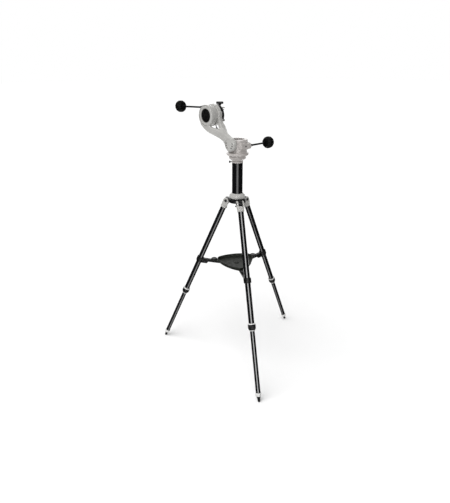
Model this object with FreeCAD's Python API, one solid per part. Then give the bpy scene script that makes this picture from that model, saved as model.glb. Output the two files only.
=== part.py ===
import FreeCAD, Part
import math
import os

# Alt-azimuth telescope mount on a three-leg tripod with an extension pier.
# Frame: origin on the floor under the azimuth axis, +Z up, +X along the
# altitude axis towards the dovetail saddle.  All lengths in millimetres.

V = FreeCAD.Vector

# ---------------------------------------------------------------- dimensions
# tripod
LEG_AZ = {"right": 0.0, "left": 120.0, "front": -120.0}
HINGE_R, HINGE_Z = 51.2, 831.4          # leg hinge pin
FOOT_R = 418.4                          # foot tip on the floor
UPPER_R, UPPER_WALL = 13.4, 1.45        # upper leg tube
LOWER_R, LOWER_WALL = 11.15, 1.3        # lower leg tube
CLEVIS_HALF_W, CLEVIS_HALF_T = 16.5, 13.5
CLEVIS_END = 36.8                       # clevis length below the pin
LUG_HALF_W = 9.7
PIN_R = 4.0
COLLET_TOP, COLLET_RING = 547.0, 4.6    # twist lock, distances from the pin
COLLAR_LEN, COLLAR_R = 26.4, 18.0
FERRULE_TOP, FERRULE_LEN, FERRULE_R = 867.0, 16.0, 13.6
FOOT_FLAT_R = 4.0
LOWER_TOP = 395.0                       # top end of the lower tube, at rest
LEG_IN, LEG_OUT = -0.27, 0.09           # leg extension travel (m), in the record
# tray
TRAY_Z, TRAY_FLOOR_Z, TRAY_RIM_Z = 511.0, 514.0, 528.0
TRAY_MID_R, TRAY_BOTTOM_IN = 75.3, 4.1
TRAY_CORNER_R, TRAY_CORNER_HW = 94.5, 16.0
TRAY_SCREW_R, TRAY_LUG_R, TRAY_LUG_T = 117.5, 13.0, 3.2
TRAY_KNOB_R, TRAY_KNOB_TOP_Z = 15.0, 522.5
BRACKET_Q, BRACKET_LEN, BRACKET_R = 351.0, 24.0, 17.6
BRACKET_ARM_IN, BRACKET_ARM_HW = 80.0, 8.0      # inner end and half width of the tray arm
BRACKET_BLOCK_IN, BRACKET_BLOCK_Z0 = 153.0, 490.0  # the deeper block next to the leg
BRACKET_ARM_Z0, BRACKET_ARM_Z1 = 500.0, 513.8   # underside, and top outside the tray lug
# hub and pier
HUB_R, HUB_Z0, HUB_Z1 = 40.0, 827.0, 843.0
PIER_R, PIER_WALL, PIER_Z0, PIER_Z1 = 25.0, 2.5, 848.0, 1010.2
BASE_COLLAR_R = 36.9
# azimuth axis
ADAPT_TOP_Z, ADAPT_R = 1030.0, 37.4
AZ_BASE_R, AZ_BASE_TOP_Z = 38.0, 1040.6
HOUSING_Z0, HOUSING_Z1 = 1043.0, 1112.5
FLANGE_R, BODY_R, BAND_R = 49.0, 41.5, 44.5
CHAMBER_R, RECESS_R = 31.0, 30.0
AZ_POST_R, AZ_POST_TOP_R, RUN = 14.0, 8.0, 0.05
AZ_TEETH, AZ_MOD, AZ_WORM_R = 144, 0.4, 6.2
AZ_WORM_Z = 1084.0
AZ_C = AZ_TEETH * AZ_MOD / 2 + AZ_WORM_R       # 35.0, worm axis at y = -AZ_C
FLAT_X = -33.0
# arm
PIVOT_Z = 1093.0
LOBE_R, LOBE_X0, LOBE_X1 = 29.0, -52.0, -33.3
PIVOT_BOSS_R = 22.5
ALT_Y, ALT_Z = 142.3, 1204.4                    # altitude axis
LRING_X0, LRING_X1, LRING_R = -62.0, -46.5, 45.6
RRING_X0, RRING_X1, RRING_R = -25.5, -5.0, 46.6
BARREL_R = 43.0
# altitude group
ALT_TEETH, ALT_MOD, ALT_WORM_R = 120, 0.45, 6.0
ALT_C = ALT_TEETH * ALT_MOD / 2 + ALT_WORM_R    # 33.0
ALT_WORM_X, ALT_ROD_TILT = -36.0, -1.5
DISC_X0, DISC_X1, DISC_R = -4.6, 14.0, 44.0
SHAFT_R, SHAFT_TAIL_R = 15.0, 9.0
# saddle: dovetail bar 45 mm wide at its base, 15 mm thick, 75 degree flanks
SAD_X0, SAD_FLOOR_X, SAD_LAND_X, SAD_X1 = 14.0, 19.5, 20.0, 31.5
SAD_HALF_L, SLOT_LOW, SLOT_HIGH = 29.0, -22.6, 28.6
SAD_TOP, SAD_BOTTOM, SAD_LAND_HALF = 34.0, -29.5, 9.5
# controls
ROD_R, KNOB_R, KNOB_LEN = 4.2, 26.4, 39.0
AZ_KNOB_X, ALT_KNOB_Y = 163.5, 350.0

os.makedirs("parts", exist_ok=True)


# ------------------------------------------------------------------- helpers
def cyl(p, d, r, h):
    return Part.makeCylinder(r, h, V(*p), V(*d))


def box(x0, y0, z0, x1, y1, z1):
    return Part.makeBox(x1 - x0, y1 - y0, z1 - z0, V(x0, y0, z0))


def rev(profile, origin=(0, 0, 0), direction=(0, 0, 1)):
    """Solid of revolution of (radius, height) points about a line."""
    pts = [V(r, 0, h) for r, h in profile]
    pts.append(pts[0])
    s = Part.Face(Part.makePolygon(pts)).revolve(V(0, 0, 0), V(0, 0, 1), 360)
    if s.ShapeType != "Solid":
        s = Part.Solid(Part.Shell(s.Faces))
    s.Placement = FreeCAD.Placement(V(*origin), FreeCAD.Rotation(V(0, 0, 1), V(*direction)))
    return s


def fuse(*shapes):
    s = shapes[0]
    if len(shapes) > 1:
        s = s.fuse(list(shapes[1:]))
    return s.removeSplitter()


def poly_prism(points, axis, a, b):
    """Prism of a polygon: axis 'x' takes (y, z) points, 'y' (x, z), 'z' (x, y)."""
    if axis == "x":
        pts = [V(a, p[0], p[1]) for p in points]
        d = V(b - a, 0, 0)
    elif axis == "y":
        pts = [V(p[0], a, p[1]) for p in points]
        d = V(0, b - a, 0)
    else:
        pts = [V(p[0], p[1], a) for p in points]
        d = V(0, 0, b - a)
    pts.append(pts[0])
    return Part.Face(Part.makePolygon(pts)).extrude(d)


def round_edges(shape, radius, pick):
    """Fillet the edges that pick accepts; leave the shape alone if that fails."""
    edges = [e for e in shape.Edges if pick(e)]
    if not edges:
        return shape
    try:
        made = shape.makeFillet(radius, edges)
        if made.isValid() and made.Volume > 0:
            return made
    except Exception:
        pass
    return shape


def save(name, shape):
    if not shape.isValid():
        print("warning: invalid shape", name)
    shape.exportStep("parts/" + name + ".step")
    print("%-24s %9.1f mm3  solids %d  faces %d" % (name, shape.Volume, len(shape.Solids), len(shape.Faces)))


def hexagon(r, cx=0.0, cy=0.0, turn=0.0):
    return [(cx + r * math.cos(math.radians(60 * i + turn)), cy + r * math.sin(math.radians(60 * i + turn))) for i in range(6)]


def cap_screw(p, d, r, length, head_r, head_h):
    """Socket head screw: p is the underside of the head, d points out of the head."""
    s = cyl(p, d, head_r, head_h)
    s = s.fuse(cyl(p, (-d[0], -d[1], -d[2]), r, length))
    top = V(*p) + V(*d) * head_h
    hexa = poly_prism(hexagon(head_r * 0.5), "z", 0, head_h * 0.55)
    hexa.Placement = FreeCAD.Placement(top - V(*d) * (head_h * 0.5), FreeCAD.Rotation(V(0, 0, 1), V(*d)))
    return s.cut(hexa).removeSplitter()


def gear(teeth, mod, width, bore, turn):
    """Spur-cut worm wheel in the XY plane with a tooth gap centred on angle turn."""
    rp = teeth * mod / 2
    ro, rr = rp + 0.75 * mod, rp - 1.25 * mod
    half_o, half_r = 0.10 * mod * math.pi / rp, 0.34 * mod * math.pi / rp
    step = 2 * math.pi / teeth
    pts = []
    for i in range(teeth):
        c = math.radians(turn) + (i + 0.5) * step
        for a, r in ((-half_r, rr), (-half_o, ro), (half_o, ro), (half_r, rr)):
            pts.append((r * math.cos(c + a), r * math.sin(c + a)))
    g = poly_prism(pts, "z", -width / 2, width / 2)
    return g.cut(Part.makeCylinder(bore, width + 2, V(0, 0, -width / 2 - 1)))


def worm_thread(pitch_r, mod, turns):
    """Right-handed thread along +Z, with a crest at z = 0 on the +X side."""
    p = math.pi * mod
    ro, rr = pitch_r + 0.75 * mod, pitch_r - 1.25 * mod
    h = p * turns
    helix = Part.makeHelix(p, h, rr)
    prof = Part.makePolygon([V(rr - 0.25, 0, -0.34 * p), V(ro, 0, -0.10 * p), V(ro, 0, 0.10 * p), V(rr - 0.25, 0, 0.34 * p), V(rr - 0.25, 0, -0.34 * p)])
    t = Part.Wire(helix).makePipeShell([Part.Wire(prof.Edges)], True, True)
    t.translate(V(0, 0, -h / 2))
    return t, rr, h


def place(shape, origin, zdir, xdir):
    """Move a shape built on local axes so that local Z is zdir and local X is xdir."""
    z = V(*zdir).normalize()
    x = V(*xdir)
    x = (x - z * x.dot(z)).normalize()
    y = z.cross(x)
    m = FreeCAD.Matrix(x.x, y.x, z.x, origin[0], x.y, y.y, z.y, origin[1], x.z, y.z, z.z, origin[2], 0, 0, 0, 1)
    s = shape.copy()
    s.Placement = FreeCAD.Placement(m).multiply(s.Placement)
    return s


def knob(half_len=KNOB_LEN / 2, r=KNOB_R, bore=ROD_R):
    """Ribbed control knob about local Z, centred on the origin."""
    prof = [(bore, -half_len), (r * 0.66, -half_len), (r * 0.74, -half_len * 0.96), (r * 0.97, -half_len * 0.50), (r, -half_len * 0.36),
            (r, half_len * 0.36), (r * 0.97, half_len * 0.50), (r * 0.76, half_len * 0.96), (r * 0.68, half_len), (0.0, half_len),
            (0.0, half_len * 0.30), (bore, half_len * 0.30)]
    s = rev(prof)
    for i in range(12):
        a = math.radians(30 * i)
        s = s.cut(cyl(((r + 1.6) * math.cos(a), (r + 1.6) * math.sin(a), -half_len - 1), (0, 0, 1), 3.2, 2 * half_len + 2))
    return s


# ----------------------------------------------------------------- leg frame
def leg_axes(az):
    a = math.radians(az)
    r = V(math.cos(a), math.sin(a), 0)
    t = V(-math.sin(a), math.cos(a), 0)
    run, drop = FOOT_R - HINGE_R, HINGE_Z
    n = math.hypot(run, drop)
    d = r * (run / n) - V(0, 0, 1) * (drop / n)
    pin = r * HINGE_R + V(0, 0, HINGE_Z)
    return pin, d, r, t, n


def on_leg(shape, az, q=0.0):
    """Place a shape built about local Z (down the leg) and local Y (along the pin) at distance q from the pin."""
    pin, d, r, t, n = leg_axes(az)
    o = pin + d * q
    x = t.cross(d)
    m = FreeCAD.Matrix(x.x, t.x, d.x, o.x, x.y, t.y, d.y, o.y, x.z, t.z, d.z, o.z, 0, 0, 0, 1)
    s = shape.copy()
    s.Placement = FreeCAD.Placement(m).multiply(s.Placement)
    return s


LEG_LEN = leg_axes(0)[4]

# clevis: two cheeks round the hub lug, a socket for the tube
clevis = box(-CLEVIS_HALF_T, -CLEVIS_HALF_W, 0, CLEVIS_HALF_T, CLEVIS_HALF_W, CLEVIS_END)
clevis = clevis.fuse(cyl((0, -CLEVIS_HALF_W, 0), (0, 1, 0), CLEVIS_HALF_T, 2 * CLEVIS_HALF_W))
clevis = clevis.fuse(Part.makeCylinder(UPPER_R - UPPER_WALL, 26, V(0, 0, CLEVIS_END)))
clevis = clevis.removeSplitter()
clevis = clevis.cut(box(-20, -10.0, -20, 20, 10.0, 15.4))
clevis = clevis.cut(cyl((0, -30, 0), (0, 1, 0), PIN_R, 60))
clevis = round_edges(clevis, 3.0, lambda e: abs(e.BoundBox.ZLength - (CLEVIS_END - 0)) < 0.6 and e.BoundBox.XLength < 0.01 and e.BoundBox.YLength < 0.01)

upper = Part.makeCylinder(UPPER_R, COLLET_TOP - CLEVIS_END, V(0, 0, CLEVIS_END)).cut(
    Part.makeCylinder(UPPER_R - UPPER_WALL, COLLET_TOP - CLEVIS_END + 2, V(0, 0, CLEVIS_END - 1)))
# collet: pale sleeve in the tube end, with a ring above and below the twist collar
c0, c1 = COLLET_TOP, COLLET_TOP + COLLET_RING
c2 = c1 + COLLAR_LEN
c3 = c2 + COLLET_RING
collet = rev([(LOWER_R + 0.08, c0), (16.4, c0), (17.4, c0 + 1.2), (17.4, c1), (14.0, c1), (14.0, c2), (13.6, c2), (13.6, c3 - 1.2), (12.8, c3), (LOWER_R + 0.08, c3)])
collar = rev([(14.05, c1 + 0.15), (COLLAR_R - 1.0, c1 + 0.15), (COLLAR_R, c1 + 1.2), (COLLAR_R, c2 - 8.0), (COLLAR_R - 1.2, c2 - 4.5), (COLLAR_R - 3.4, c2 - 1.2), (14.6, c2 - 0.15), (14.05, c2 - 0.15)])
for i in range(18):
    a = math.radians(20 * i)
    collar = collar.cut(cyl(((COLLAR_R + 0.9) * math.cos(a), (COLLAR_R + 0.9) * math.sin(a), c1 + 3.0), (0, 0, 1), 1.6, COLLAR_LEN - 12.0))
lower = Part.makeCylinder(LOWER_R, FERRULE_TOP - LOWER_TOP + 8, V(0, 0, LOWER_TOP)).cut(
    Part.makeCylinder(LOWER_R - LOWER_WALL, FERRULE_TOP - LOWER_TOP + 10, V(0, 0, LOWER_TOP - 1)))
f0, f1 = FERRULE_TOP, FERRULE_TOP + FERRULE_LEN
ferrule = rev([(LOWER_R, f0), (FERRULE_R - 1.2, f0), (FERRULE_R, f0 + 1.5), (FERRULE_R, f0 + 6.0), (FERRULE_R - 0.9, f0 + 7.2), (FERRULE_R - 0.9, f1 - 2.0), (FERRULE_R - 2.0, f1), (6.5, f1), (6.5, f1 - 6.0), (0, f1 - 6.0), (0, f0 + 8.0), (LOWER_R, f0 + 8.0)])
tip_len = LEG_LEN - f1
tip = rev([(0, f1 - 6.0), (6.5, f1 - 6.0), (6.5, f1), (9.6, f1), (9.6, f1 + 4.0), (7.6, f1 + tip_len - 6.0), (5.4, f1 + tip_len + 6.0), (0, f1 + tip_len + 6.0)])
# bracket: split clamp round the upper tube with an inward shelf for the tray arm
BQ0 = BRACKET_Q - BRACKET_LEN / 2

leg_names = ["front", "right", "left"]
pins = []
collets = []
bracket_screws = []
lean = math.atan2(FOOT_R - HINGE_R, HINGE_Z)
for name in leg_names:
    az = LEG_AZ[name]
    pin, d, r, t, n = leg_axes(az)
    save("clevis_" + name, on_leg(clevis, az))
    save("upper_leg_tube_" + name, on_leg(upper, az))
    collets.append(on_leg(collet, az))
    save("twist_collar_" + name, on_leg(collar, az))
    save("lower_leg_tube_" + name, on_leg(lower, az))
    save("foot_ferrule_" + name, on_leg(ferrule, az))
    foot = on_leg(tip, az).common(box(-600, -600, 0, 600, 600, 200))
    save("foot_tip_" + name, foot)
    pin_s = cyl((0, -CLEVIS_HALF_W + 2.0, 0), (0, 1, 0), PIN_R, 2 * CLEVIS_HALF_W - 4.0)
    for sgn in (-1, 1):
        head = cyl((0, sgn * (CLEVIS_HALF_W - 0.0), 0), (0, sgn, 0), 6.2, 2.4)
        hexa = poly_prism(hexagon(2.9), "z", 0, 2.0)
        hexa.Placement = FreeCAD.Placement(V(0, sgn * (CLEVIS_HALF_W + 0.6), 0), FreeCAD.Rotation(V(0, 0, 1), V(0, sgn, 0)))
        pin_s = pin_s.fuse(cyl((0, sgn * (CLEVIS_HALF_W - 2.2), 0), (0, sgn, 0), PIN_R, 2.4)).fuse(head.cut(hexa))
    pins.append(on_leg(pin_s.removeSplitter(), az))
    # tray bracket, built in the leg frame and in the upright radial frame
    ring = Part.makeCylinder(BRACKET_R, BRACKET_LEN, V(0, 0, BQ0))
    ring = on_leg(ring, az)
    zm = (BRACKET_ARM_Z0 + BRACKET_ARM_Z1) / 2
    leg_r = HINGE_R + (HINGE_Z - zm) * math.tan(lean)          # leg axis radius at the arm
    lug_end = TRAY_SCREW_R + TRAY_LUG_R + 1.0
    shelf = poly_prism([(BRACKET_ARM_IN + 4.0, BRACKET_ARM_Z0), (leg_r - 4.0, BRACKET_ARM_Z0), (leg_r - 4.0, BRACKET_ARM_Z1), (lug_end + 4.0, BRACKET_ARM_Z1), (lug_end, TRAY_Z),
                        (BRACKET_ARM_IN, TRAY_Z), (BRACKET_ARM_IN, BRACKET_ARM_Z0 + 4.0)], "y", -BRACKET_ARM_HW, BRACKET_ARM_HW)
    shelf = round_edges(shelf, 2.0, lambda e: abs(e.BoundBox.ZMin - BRACKET_ARM_Z0) < 0.01 and e.BoundBox.ZLength < 0.01 and e.BoundBox.XLength > 50)
    block = box(BRACKET_BLOCK_IN, -BRACKET_ARM_HW, BRACKET_BLOCK_Z0, leg_r + 4.0, BRACKET_ARM_HW, BRACKET_ARM_Z1)
    block = round_edges(block, 4.0, lambda e: e.BoundBox.YLength > 10 and e.BoundBox.XLength < 0.01 and abs(e.BoundBox.ZMin - BRACKET_BLOCK_Z0) < 0.01 and e.BoundBox.XMin < BRACKET_BLOCK_IN + 1)
    shelf = shelf.fuse(block).removeSplitter()
    shelf.rotate(V(0, 0, 0), V(0, 0, 1), az)
    br = ring.fuse(shelf).removeSplitter()
    br = br.cut(on_leg(Part.makeCylinder(UPPER_R, BRACKET_LEN + 60, V(0, 0, BQ0 - 30)), az))
    hole = cyl((TRAY_SCREW_R, 0, BRACKET_ARM_Z0 - 1), (0, 0, 1), 2.5, 20)
    hole.rotate(V(0, 0, 0), V(0, 0, 1), az)
    br = br.cut(hole)
    if len(br.Solids) > 1:
        br = max(br.Solids, key=lambda s: s.Volume)
    save("tray_bracket_" + name, br)
    lug_top = TRAY_Z + TRAY_LUG_T
    sc = rev([(0, BRACKET_ARM_Z0 - 3.0), (2.5, BRACKET_ARM_Z0 - 3.0), (2.5, lug_top), (TRAY_KNOB_R - 1.0, lug_top), (TRAY_KNOB_R, lug_top + 1.0), (TRAY_KNOB_R, TRAY_KNOB_TOP_Z - 2.2), (TRAY_KNOB_R - 1.8, TRAY_KNOB_TOP_Z - 0.3), (TRAY_KNOB_R - 5.0, TRAY_KNOB_TOP_Z), (0, TRAY_KNOB_TOP_Z)])
    for i in range(10):
        a = math.radians(36 * i)
        sc = sc.cut(cyl(((TRAY_KNOB_R + 1.4) * math.cos(a), (TRAY_KNOB_R + 1.4) * math.sin(a), lug_top - 1.0), (0, 0, 1), 2.4, 12.0))
    sc.translate(V(TRAY_SCREW_R, 0, 0))
    sc.rotate(V(0, 0, 0), V(0, 0, 1), az)
    bracket_screws.append(sc)
save("hinge_pins", Part.makeCompound(pins))
save("lock_collets", Part.makeCompound(collets))
save("tray_screws", Part.makeCompound(bracket_screws))


# ---------------------------------------------------------------------- tray
def tray_outline(mid, corner, hw, inset=0.0):
    """Three bowed sides between blunt corners; returns a closed wire at z = 0."""
    edges = []
    for k in range(3):
        a0, a1 = math.radians(120 * k), math.radians(120 * (k + 1))
        am = (a0 + a1) / 2
        rot = lambda x, y, a: V(x * math.cos(a) - y * math.sin(a), x * math.sin(a) + y * math.cos(a), 0)
        p0 = rot(corner - inset, hw, a0)
        p1 = V((mid - inset) * math.cos(am), (mid - inset) * math.sin(am), 0)
        p2 = rot(corner - inset, -hw, a1)
        edges.append(Part.Arc(p0, p1, p2).toShape())
        p3 = rot(corner - inset, hw, a1)
        pm = rot(corner - inset + 4.0, 0, a1)
        edges.append(Part.Arc(p2, pm, p3).toShape())
    return Part.Wire(edges)


rim_w = tray_outline(TRAY_MID_R, TRAY_CORNER_R, TRAY_CORNER_HW)
low_w = tray_outline(TRAY_MID_R - TRAY_BOTTOM_IN, TRAY_CORNER_R - 3.5, TRAY_CORNER_HW - 1.5)
rim_w.translate(V(0, 0, TRAY_RIM_Z))
low_w.translate(V(0, 0, TRAY_Z))
dish = Part.makeLoft([low_w, rim_w], True, True)
rim_i = tray_outline(TRAY_MID_R - 2.6, TRAY_CORNER_R - 2.6, TRAY_CORNER_HW - 1.4)
low_i = tray_outline(TRAY_MID_R - TRAY_BOTTOM_IN - 4.0, TRAY_CORNER_R - 7.5, TRAY_CORNER_HW - 4.0)
rim_i.translate(V(0, 0, TRAY_RIM_Z + 0.01))
low_i.translate(V(0, 0, TRAY_FLOOR_Z))
hollow = Part.makeLoft([low_i, rim_i], True, True)
arms = []
for k in range(3):
    a = box(TRAY_CORNER_R - 8.0, -TRAY_LUG_R, TRAY_Z, TRAY_SCREW_R, TRAY_LUG_R, TRAY_Z + TRAY_LUG_T)
    a = a.fuse(cyl((TRAY_SCREW_R, 0, TRAY_Z), (0, 0, 1), TRAY_LUG_R, TRAY_LUG_T)).removeSplitter()
    a.rotate(V(0, 0, 0), V(0, 0, 1), 120 * k)
    arms.append(a)
tray = dish.fuse(arms).removeSplitter().cut(hollow)
for k in range(3):
    hole = cyl((TRAY_SCREW_R, 0, TRAY_Z - 1), (0, 0, 1), 2.5, 30)
    hole.rotate(V(0, 0, 0), V(0, 0, 1), 120 * k)
    tray = tray.cut(hole)
tray = tray.fuse(rev([(0, TRAY_Z), (11, TRAY_Z), (11, TRAY_FLOOR_Z + 1.6), (9.5, TRAY_FLOOR_Z + 2.4), (4.0, TRAY_FLOOR_Z + 2.4), (4.0, TRAY_FLOOR_Z + 0.6), (0, TRAY_FLOOR_Z + 0.6)])).removeSplitter()
save("accessory_tray", tray)

# ----------------------------------------------------------------------- hub
hub = cyl((0, 0, HUB_Z0), (0, 0, 1), HUB_R, HUB_Z1 - HUB_Z0)
for name in leg_names:
    az = LEG_AZ[name]
    lug = cyl((HINGE_R, -LUG_HALF_W, HINGE_Z), (0, 1, 0), 12.6, 2 * LUG_HALF_W)
    lug = lug.fuse(poly_prism([(24, HUB_Z0), (HINGE_R - 6, HINGE_Z - 12.0), (HINGE_R + 2, HINGE_Z - 12.4), (HINGE_R + 4, HINGE_Z + 11.5), (HINGE_R - 6, HUB_Z1), (24, HUB_Z1)], "y", -LUG_HALF_W, LUG_HALF_W))
    lug.rotate(V(0, 0, 0), V(0, 0, 1), az)
    hub = hub.fuse(lug)
hub = hub.removeSplitter()
for name in leg_names:
    hole = cyl((HINGE_R, -30, HINGE_Z), (0, 1, 0), PIN_R, 60)
    hole.rotate(V(0, 0, 0), V(0, 0, 1), LEG_AZ[name])
    hub = hub.cut(hole)
    # room for the clevis cheeks either side of the lug
    for sgn in (-1, 1):
        slot = cyl((HINGE_R, sgn * 9.9 if sgn > 0 else -18.2, HINGE_Z), (0, 1, 0), 14.6, 8.3)
        slot.rotate(V(0, 0, 0), V(0, 0, 1), LEG_AZ[name])
        hub = hub.cut(slot)
hub = hub.cut(cyl((0, 0, 800), (0, 0, 1), 15.0, 100))
HS_TILT, HS_AZ = math.radians(20.0), math.radians(-170.0)
hs_d = (math.sin(HS_TILT) * math.cos(HS_AZ), math.sin(HS_TILT) * math.sin(HS_AZ), -math.cos(HS_TILT))
hs_p = V(-25.8, -22.7, HUB_Z0 + 1.0)
hub = hub.cut(cyl(tuple(hs_p - V(*hs_d) * 9.0), hs_d, 2.05, 20))
save("tripod_hub", hub)
hs = cyl(tuple(hs_p - V(*hs_d) * 8.0), hs_d, 2.0, 20.0)
hs = hs.fuse(cyl(tuple(hs_p + V(*hs_d) * 11.6), hs_d, 4.4, 5.2)).removeSplitter()
save("hub_thumb_screw", hs)

# ---------------------------------------------------------------------- pier
base_collar = rev([(15.0, HUB_Z1), (28.0, HUB_Z1), (33.0, 846.4), (36.0, 849.4), (BASE_COLLAR_R, 851.5), (BASE_COLLAR_R, 857.0), (35.6, 861.0), (31.6, 866.0), (27.4, 869.6), (26.2, 870.5), (PIER_R, 870.5), (PIER_R, PIER_Z0), (15.0, PIER_Z0)])
save("pier_base_collar", base_collar)
pier = cyl((0, 0, PIER_Z0), (0, 0, 1), PIER_R, PIER_Z1 - PIER_Z0).cut(cyl((0, 0, PIER_Z0 - 1), (0, 0, 1), PIER_R - PIER_WALL, PIER_Z1 - PIER_Z0 + 2))
PL_Z = 1012.7
adapter = rev([(5.1, 980.0), (PIER_R - PIER_WALL, 980.0), (PIER_R - PIER_WALL, PIER_Z1), (25.6, PIER_Z1), (25.6, 1016.6), (23.4, 1017.0), (23.4, 1019.0), (26.6, 1020.0), (32.2, 1025.2), (ADAPT_R - 0.4, 1028.6), (ADAPT_R, ADAPT_TOP_Z), (5.1, ADAPT_TOP_Z)])
# the pier lock screw comes in from the far left, level with the neck
PL_AZ = 135.0
pl_d = (math.cos(math.radians(PL_AZ)), math.sin(math.radians(PL_AZ)), 0.0)
adapter = adapter.cut(cyl((pl_d[0] * 10, pl_d[1] * 10, PL_Z), pl_d, 2.05, 30))
save("pier_tube", pier)
save("pier_head_adapter", adapter)
pl = cyl((pl_d[0] * 11, pl_d[1] * 11, PL_Z), pl_d, 2.0, 22.0)
pl = pl.fuse(cyl((pl_d[0] * 31, pl_d[1] * 31, PL_Z), pl_d, 5.0, 6.0)).fuse(cyl((pl_d[0] * 37, pl_d[1] * 37, PL_Z), pl_d, 4.0, 1.2)).removeSplitter()
save("pier_lock_screw", pl)

# -------------------------------------------------------------- azimuth base
az_base = rev([(5.1, ADAPT_TOP_Z), (37.2, ADAPT_TOP_Z), (AZ_BASE_R, 1031.0), (AZ_BASE_R, AZ_BASE_TOP_Z - 1.2), (37.0, AZ_BASE_TOP_Z), (33.0, AZ_BASE_TOP_Z), (33.0, 1042.7), (AZ_POST_R, 1042.7),
               (AZ_POST_R, AZ_WORM_Z - 2.5), (AZ_POST_TOP_R, AZ_WORM_Z - 2.5), (AZ_POST_TOP_R, 1097.6), (5.1, 1097.6)])
save("azimuth_base", az_base)
az_wheel = gear(AZ_TEETH, AZ_MOD, 5.0, AZ_POST_TOP_R, -90.0)
az_wheel.translate(V(0, 0, AZ_WORM_Z))
save("azimuth_worm_wheel", az_wheel)
spindle = cyl((0, 0, 972.0), (0, 0, 1), 5.0, 133.0).fuse(poly_prism(hexagon(9.2), "z", 972.0, 979.8)).removeSplitter()
save("azimuth_axis_bolt", spindle)
az_nut = rev([(5.0, 1097.7), (12.0, 1097.7), (12.0, 1099.2), (5.0, 1099.2)]).fuse(poly_prism(hexagon(9.2), "z", 1099.2, 1104.6).cut(cyl((0, 0, 1090), (0, 0, 1), 5.0, 20))).removeSplitter()
save("azimuth_axis_nut", az_nut)

# ----------------------------------------------------------- azimuth housing
housing = rev([(0, HOUSING_Z0), (45.0, HOUSING_Z0), (47.6, 1043.8), (FLANGE_R, 1046.2), (FLANGE_R, 1051.4), (48.0, 1053.4), (45.6, 1054.4), (43.0, 1055.2), (BODY_R, 1057.4), (BODY_R, 1096.4),
               (BODY_R + 0.6, 1097.6), (BAND_R - 0.8, 1098.6), (BAND_R, 1100.2), (BAND_R, 1109.2), (BAND_R - 1.4, 1111.6), (BAND_R - 3.4, HOUSING_Z1), (0, HOUSING_Z1)])
wbox = box(-25.0, -47.2, 1073.5, 30.0, -20.0, 1098.6)
wbox = round_edges(wbox, 3.5, lambda e: abs(e.BoundBox.YMin + 47.2) < 0.01)
boss = rev([(0, 24.0), (15.0, 24.0), (15.0, 36.6), (14.2, 38.0), (0, 38.0)], (0, -AZ_C, AZ_WORM_Z), (1, 0, 0))
housing = housing.fuse([wbox, boss])
housing = housing.cut(box(-60, -60, 1055.6, FLAT_X, 60, 1120))
housing = housing.fuse(cyl((FLAT_X + 1.0, 0, PIVOT_Z), (-1, 0, 0), PIVOT_BOSS_R, 17.3))
housing = housing.removeSplitter()
housing = housing.cut(rev([(0, 1042.0), (AZ_POST_R + RUN, 1042.0), (AZ_POST_R + RUN, 1052.0), (CHAMBER_R, 1056.0), (CHAMBER_R, 1094.4), (RECESS_R + 1.0, 1094.4), (RECESS_R + 1.0, 1097.4), (RECESS_R, 1097.4), (RECESS_R, 1111.0), (RECESS_R + 1.2, HOUSING_Z1 + 0.1), (0, HOUSING_Z1 + 0.1)]))
housing = housing.cut(cyl((-19.0, -AZ_C, AZ_WORM_Z), (1, 0, 0), 7.4, 60.0))
housing = housing.cut(cyl((26.0, -AZ_C, AZ_WORM_Z), (1, 0, 0), 10.0, 20.0))
housing = housing.cut(cyl((-22.6, -AZ_C, AZ_WORM_Z), (1, 0, 0), 4.05, 6.0))
PIV_SCREWS = [165.0, 195.0, 228.0, 312.0, 345.0, 15.0]
piv = [(19.4 * math.cos(math.radians(a)), 19.4 * math.sin(math.radians(a)) + PIVOT_Z) for a in PIV_SCREWS]
for y, z in piv:
    housing = housing.cut(cyl((-50.0, y, z), (1, 0, 0), 1.6, 12.0))
ADJ_X, ADJ_Z = 3.1, 1085.4
housing = housing.cut(cyl((ADJ_X, -48.0, ADJ_Z), (0, 1, 0), 2.5, 4.6))
save("azimuth_housing", housing)
plate = rev([(AZ_POST_TOP_R + RUN, 1094.45), (RECESS_R + 0.95, 1094.45), (RECESS_R + 0.95, 1097.35), (AZ_POST_TOP_R + RUN, 1097.35)])
save("azimuth_bearing_plate", plate)
cover = rev([(0, -49.35), (24.4, -49.35), (24.4, -51.9), (23.4, -52.9), (0, -52.9)])
cover.Placement = FreeCAD.Placement(V(0, 0, PIVOT_Z), FreeCAD.Rotation(V(0, 0, 1), V(1, 0, 0)))
for y, z in piv:
    cover = cover.cut(cyl((-60, y, z), (1, 0, 0), 1.6, 20)).cut(cyl((-60, y, z), (1, 0, 0), 2.9, 8.6))
save("arm_pivot_cover", cover)
wcover = box(-22.0, -48.8, 1076.0, 23.0, -47.2, 1096.2)
wcover = round_edges(wcover, 2.5, lambda e: e.BoundBox.YLength > 1.5 and e.BoundBox.XLength < 0.01)
wcover = wcover.cut(cyl((ADJ_X, -50.0, ADJ_Z), (0, 1, 0), 3.6, 6))
save("azimuth_worm_cover", wcover)
screws = [cap_screw((-51.4, y, z), (-1, 0, 0), 1.6, 10.0, 2.8, 1.2) for y, z in piv]
screws.append(cap_screw((ADJ_X, -47.2, ADJ_Z), (0, -1, 0), 2.45, 3.6, 3.5, 2.2))
save("housing_screws", Part.makeCompound(screws))
az_bush = rev([(ROD_R + RUN, 26.0), (10.0, 26.0), (10.0, 38.0), (11.5, 38.0), (11.5, 39.4), (ROD_R + RUN, 39.4)], (0, -AZ_C, AZ_WORM_Z), (1, 0, 0))
save("azimuth_worm_bush", az_bush)

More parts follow.
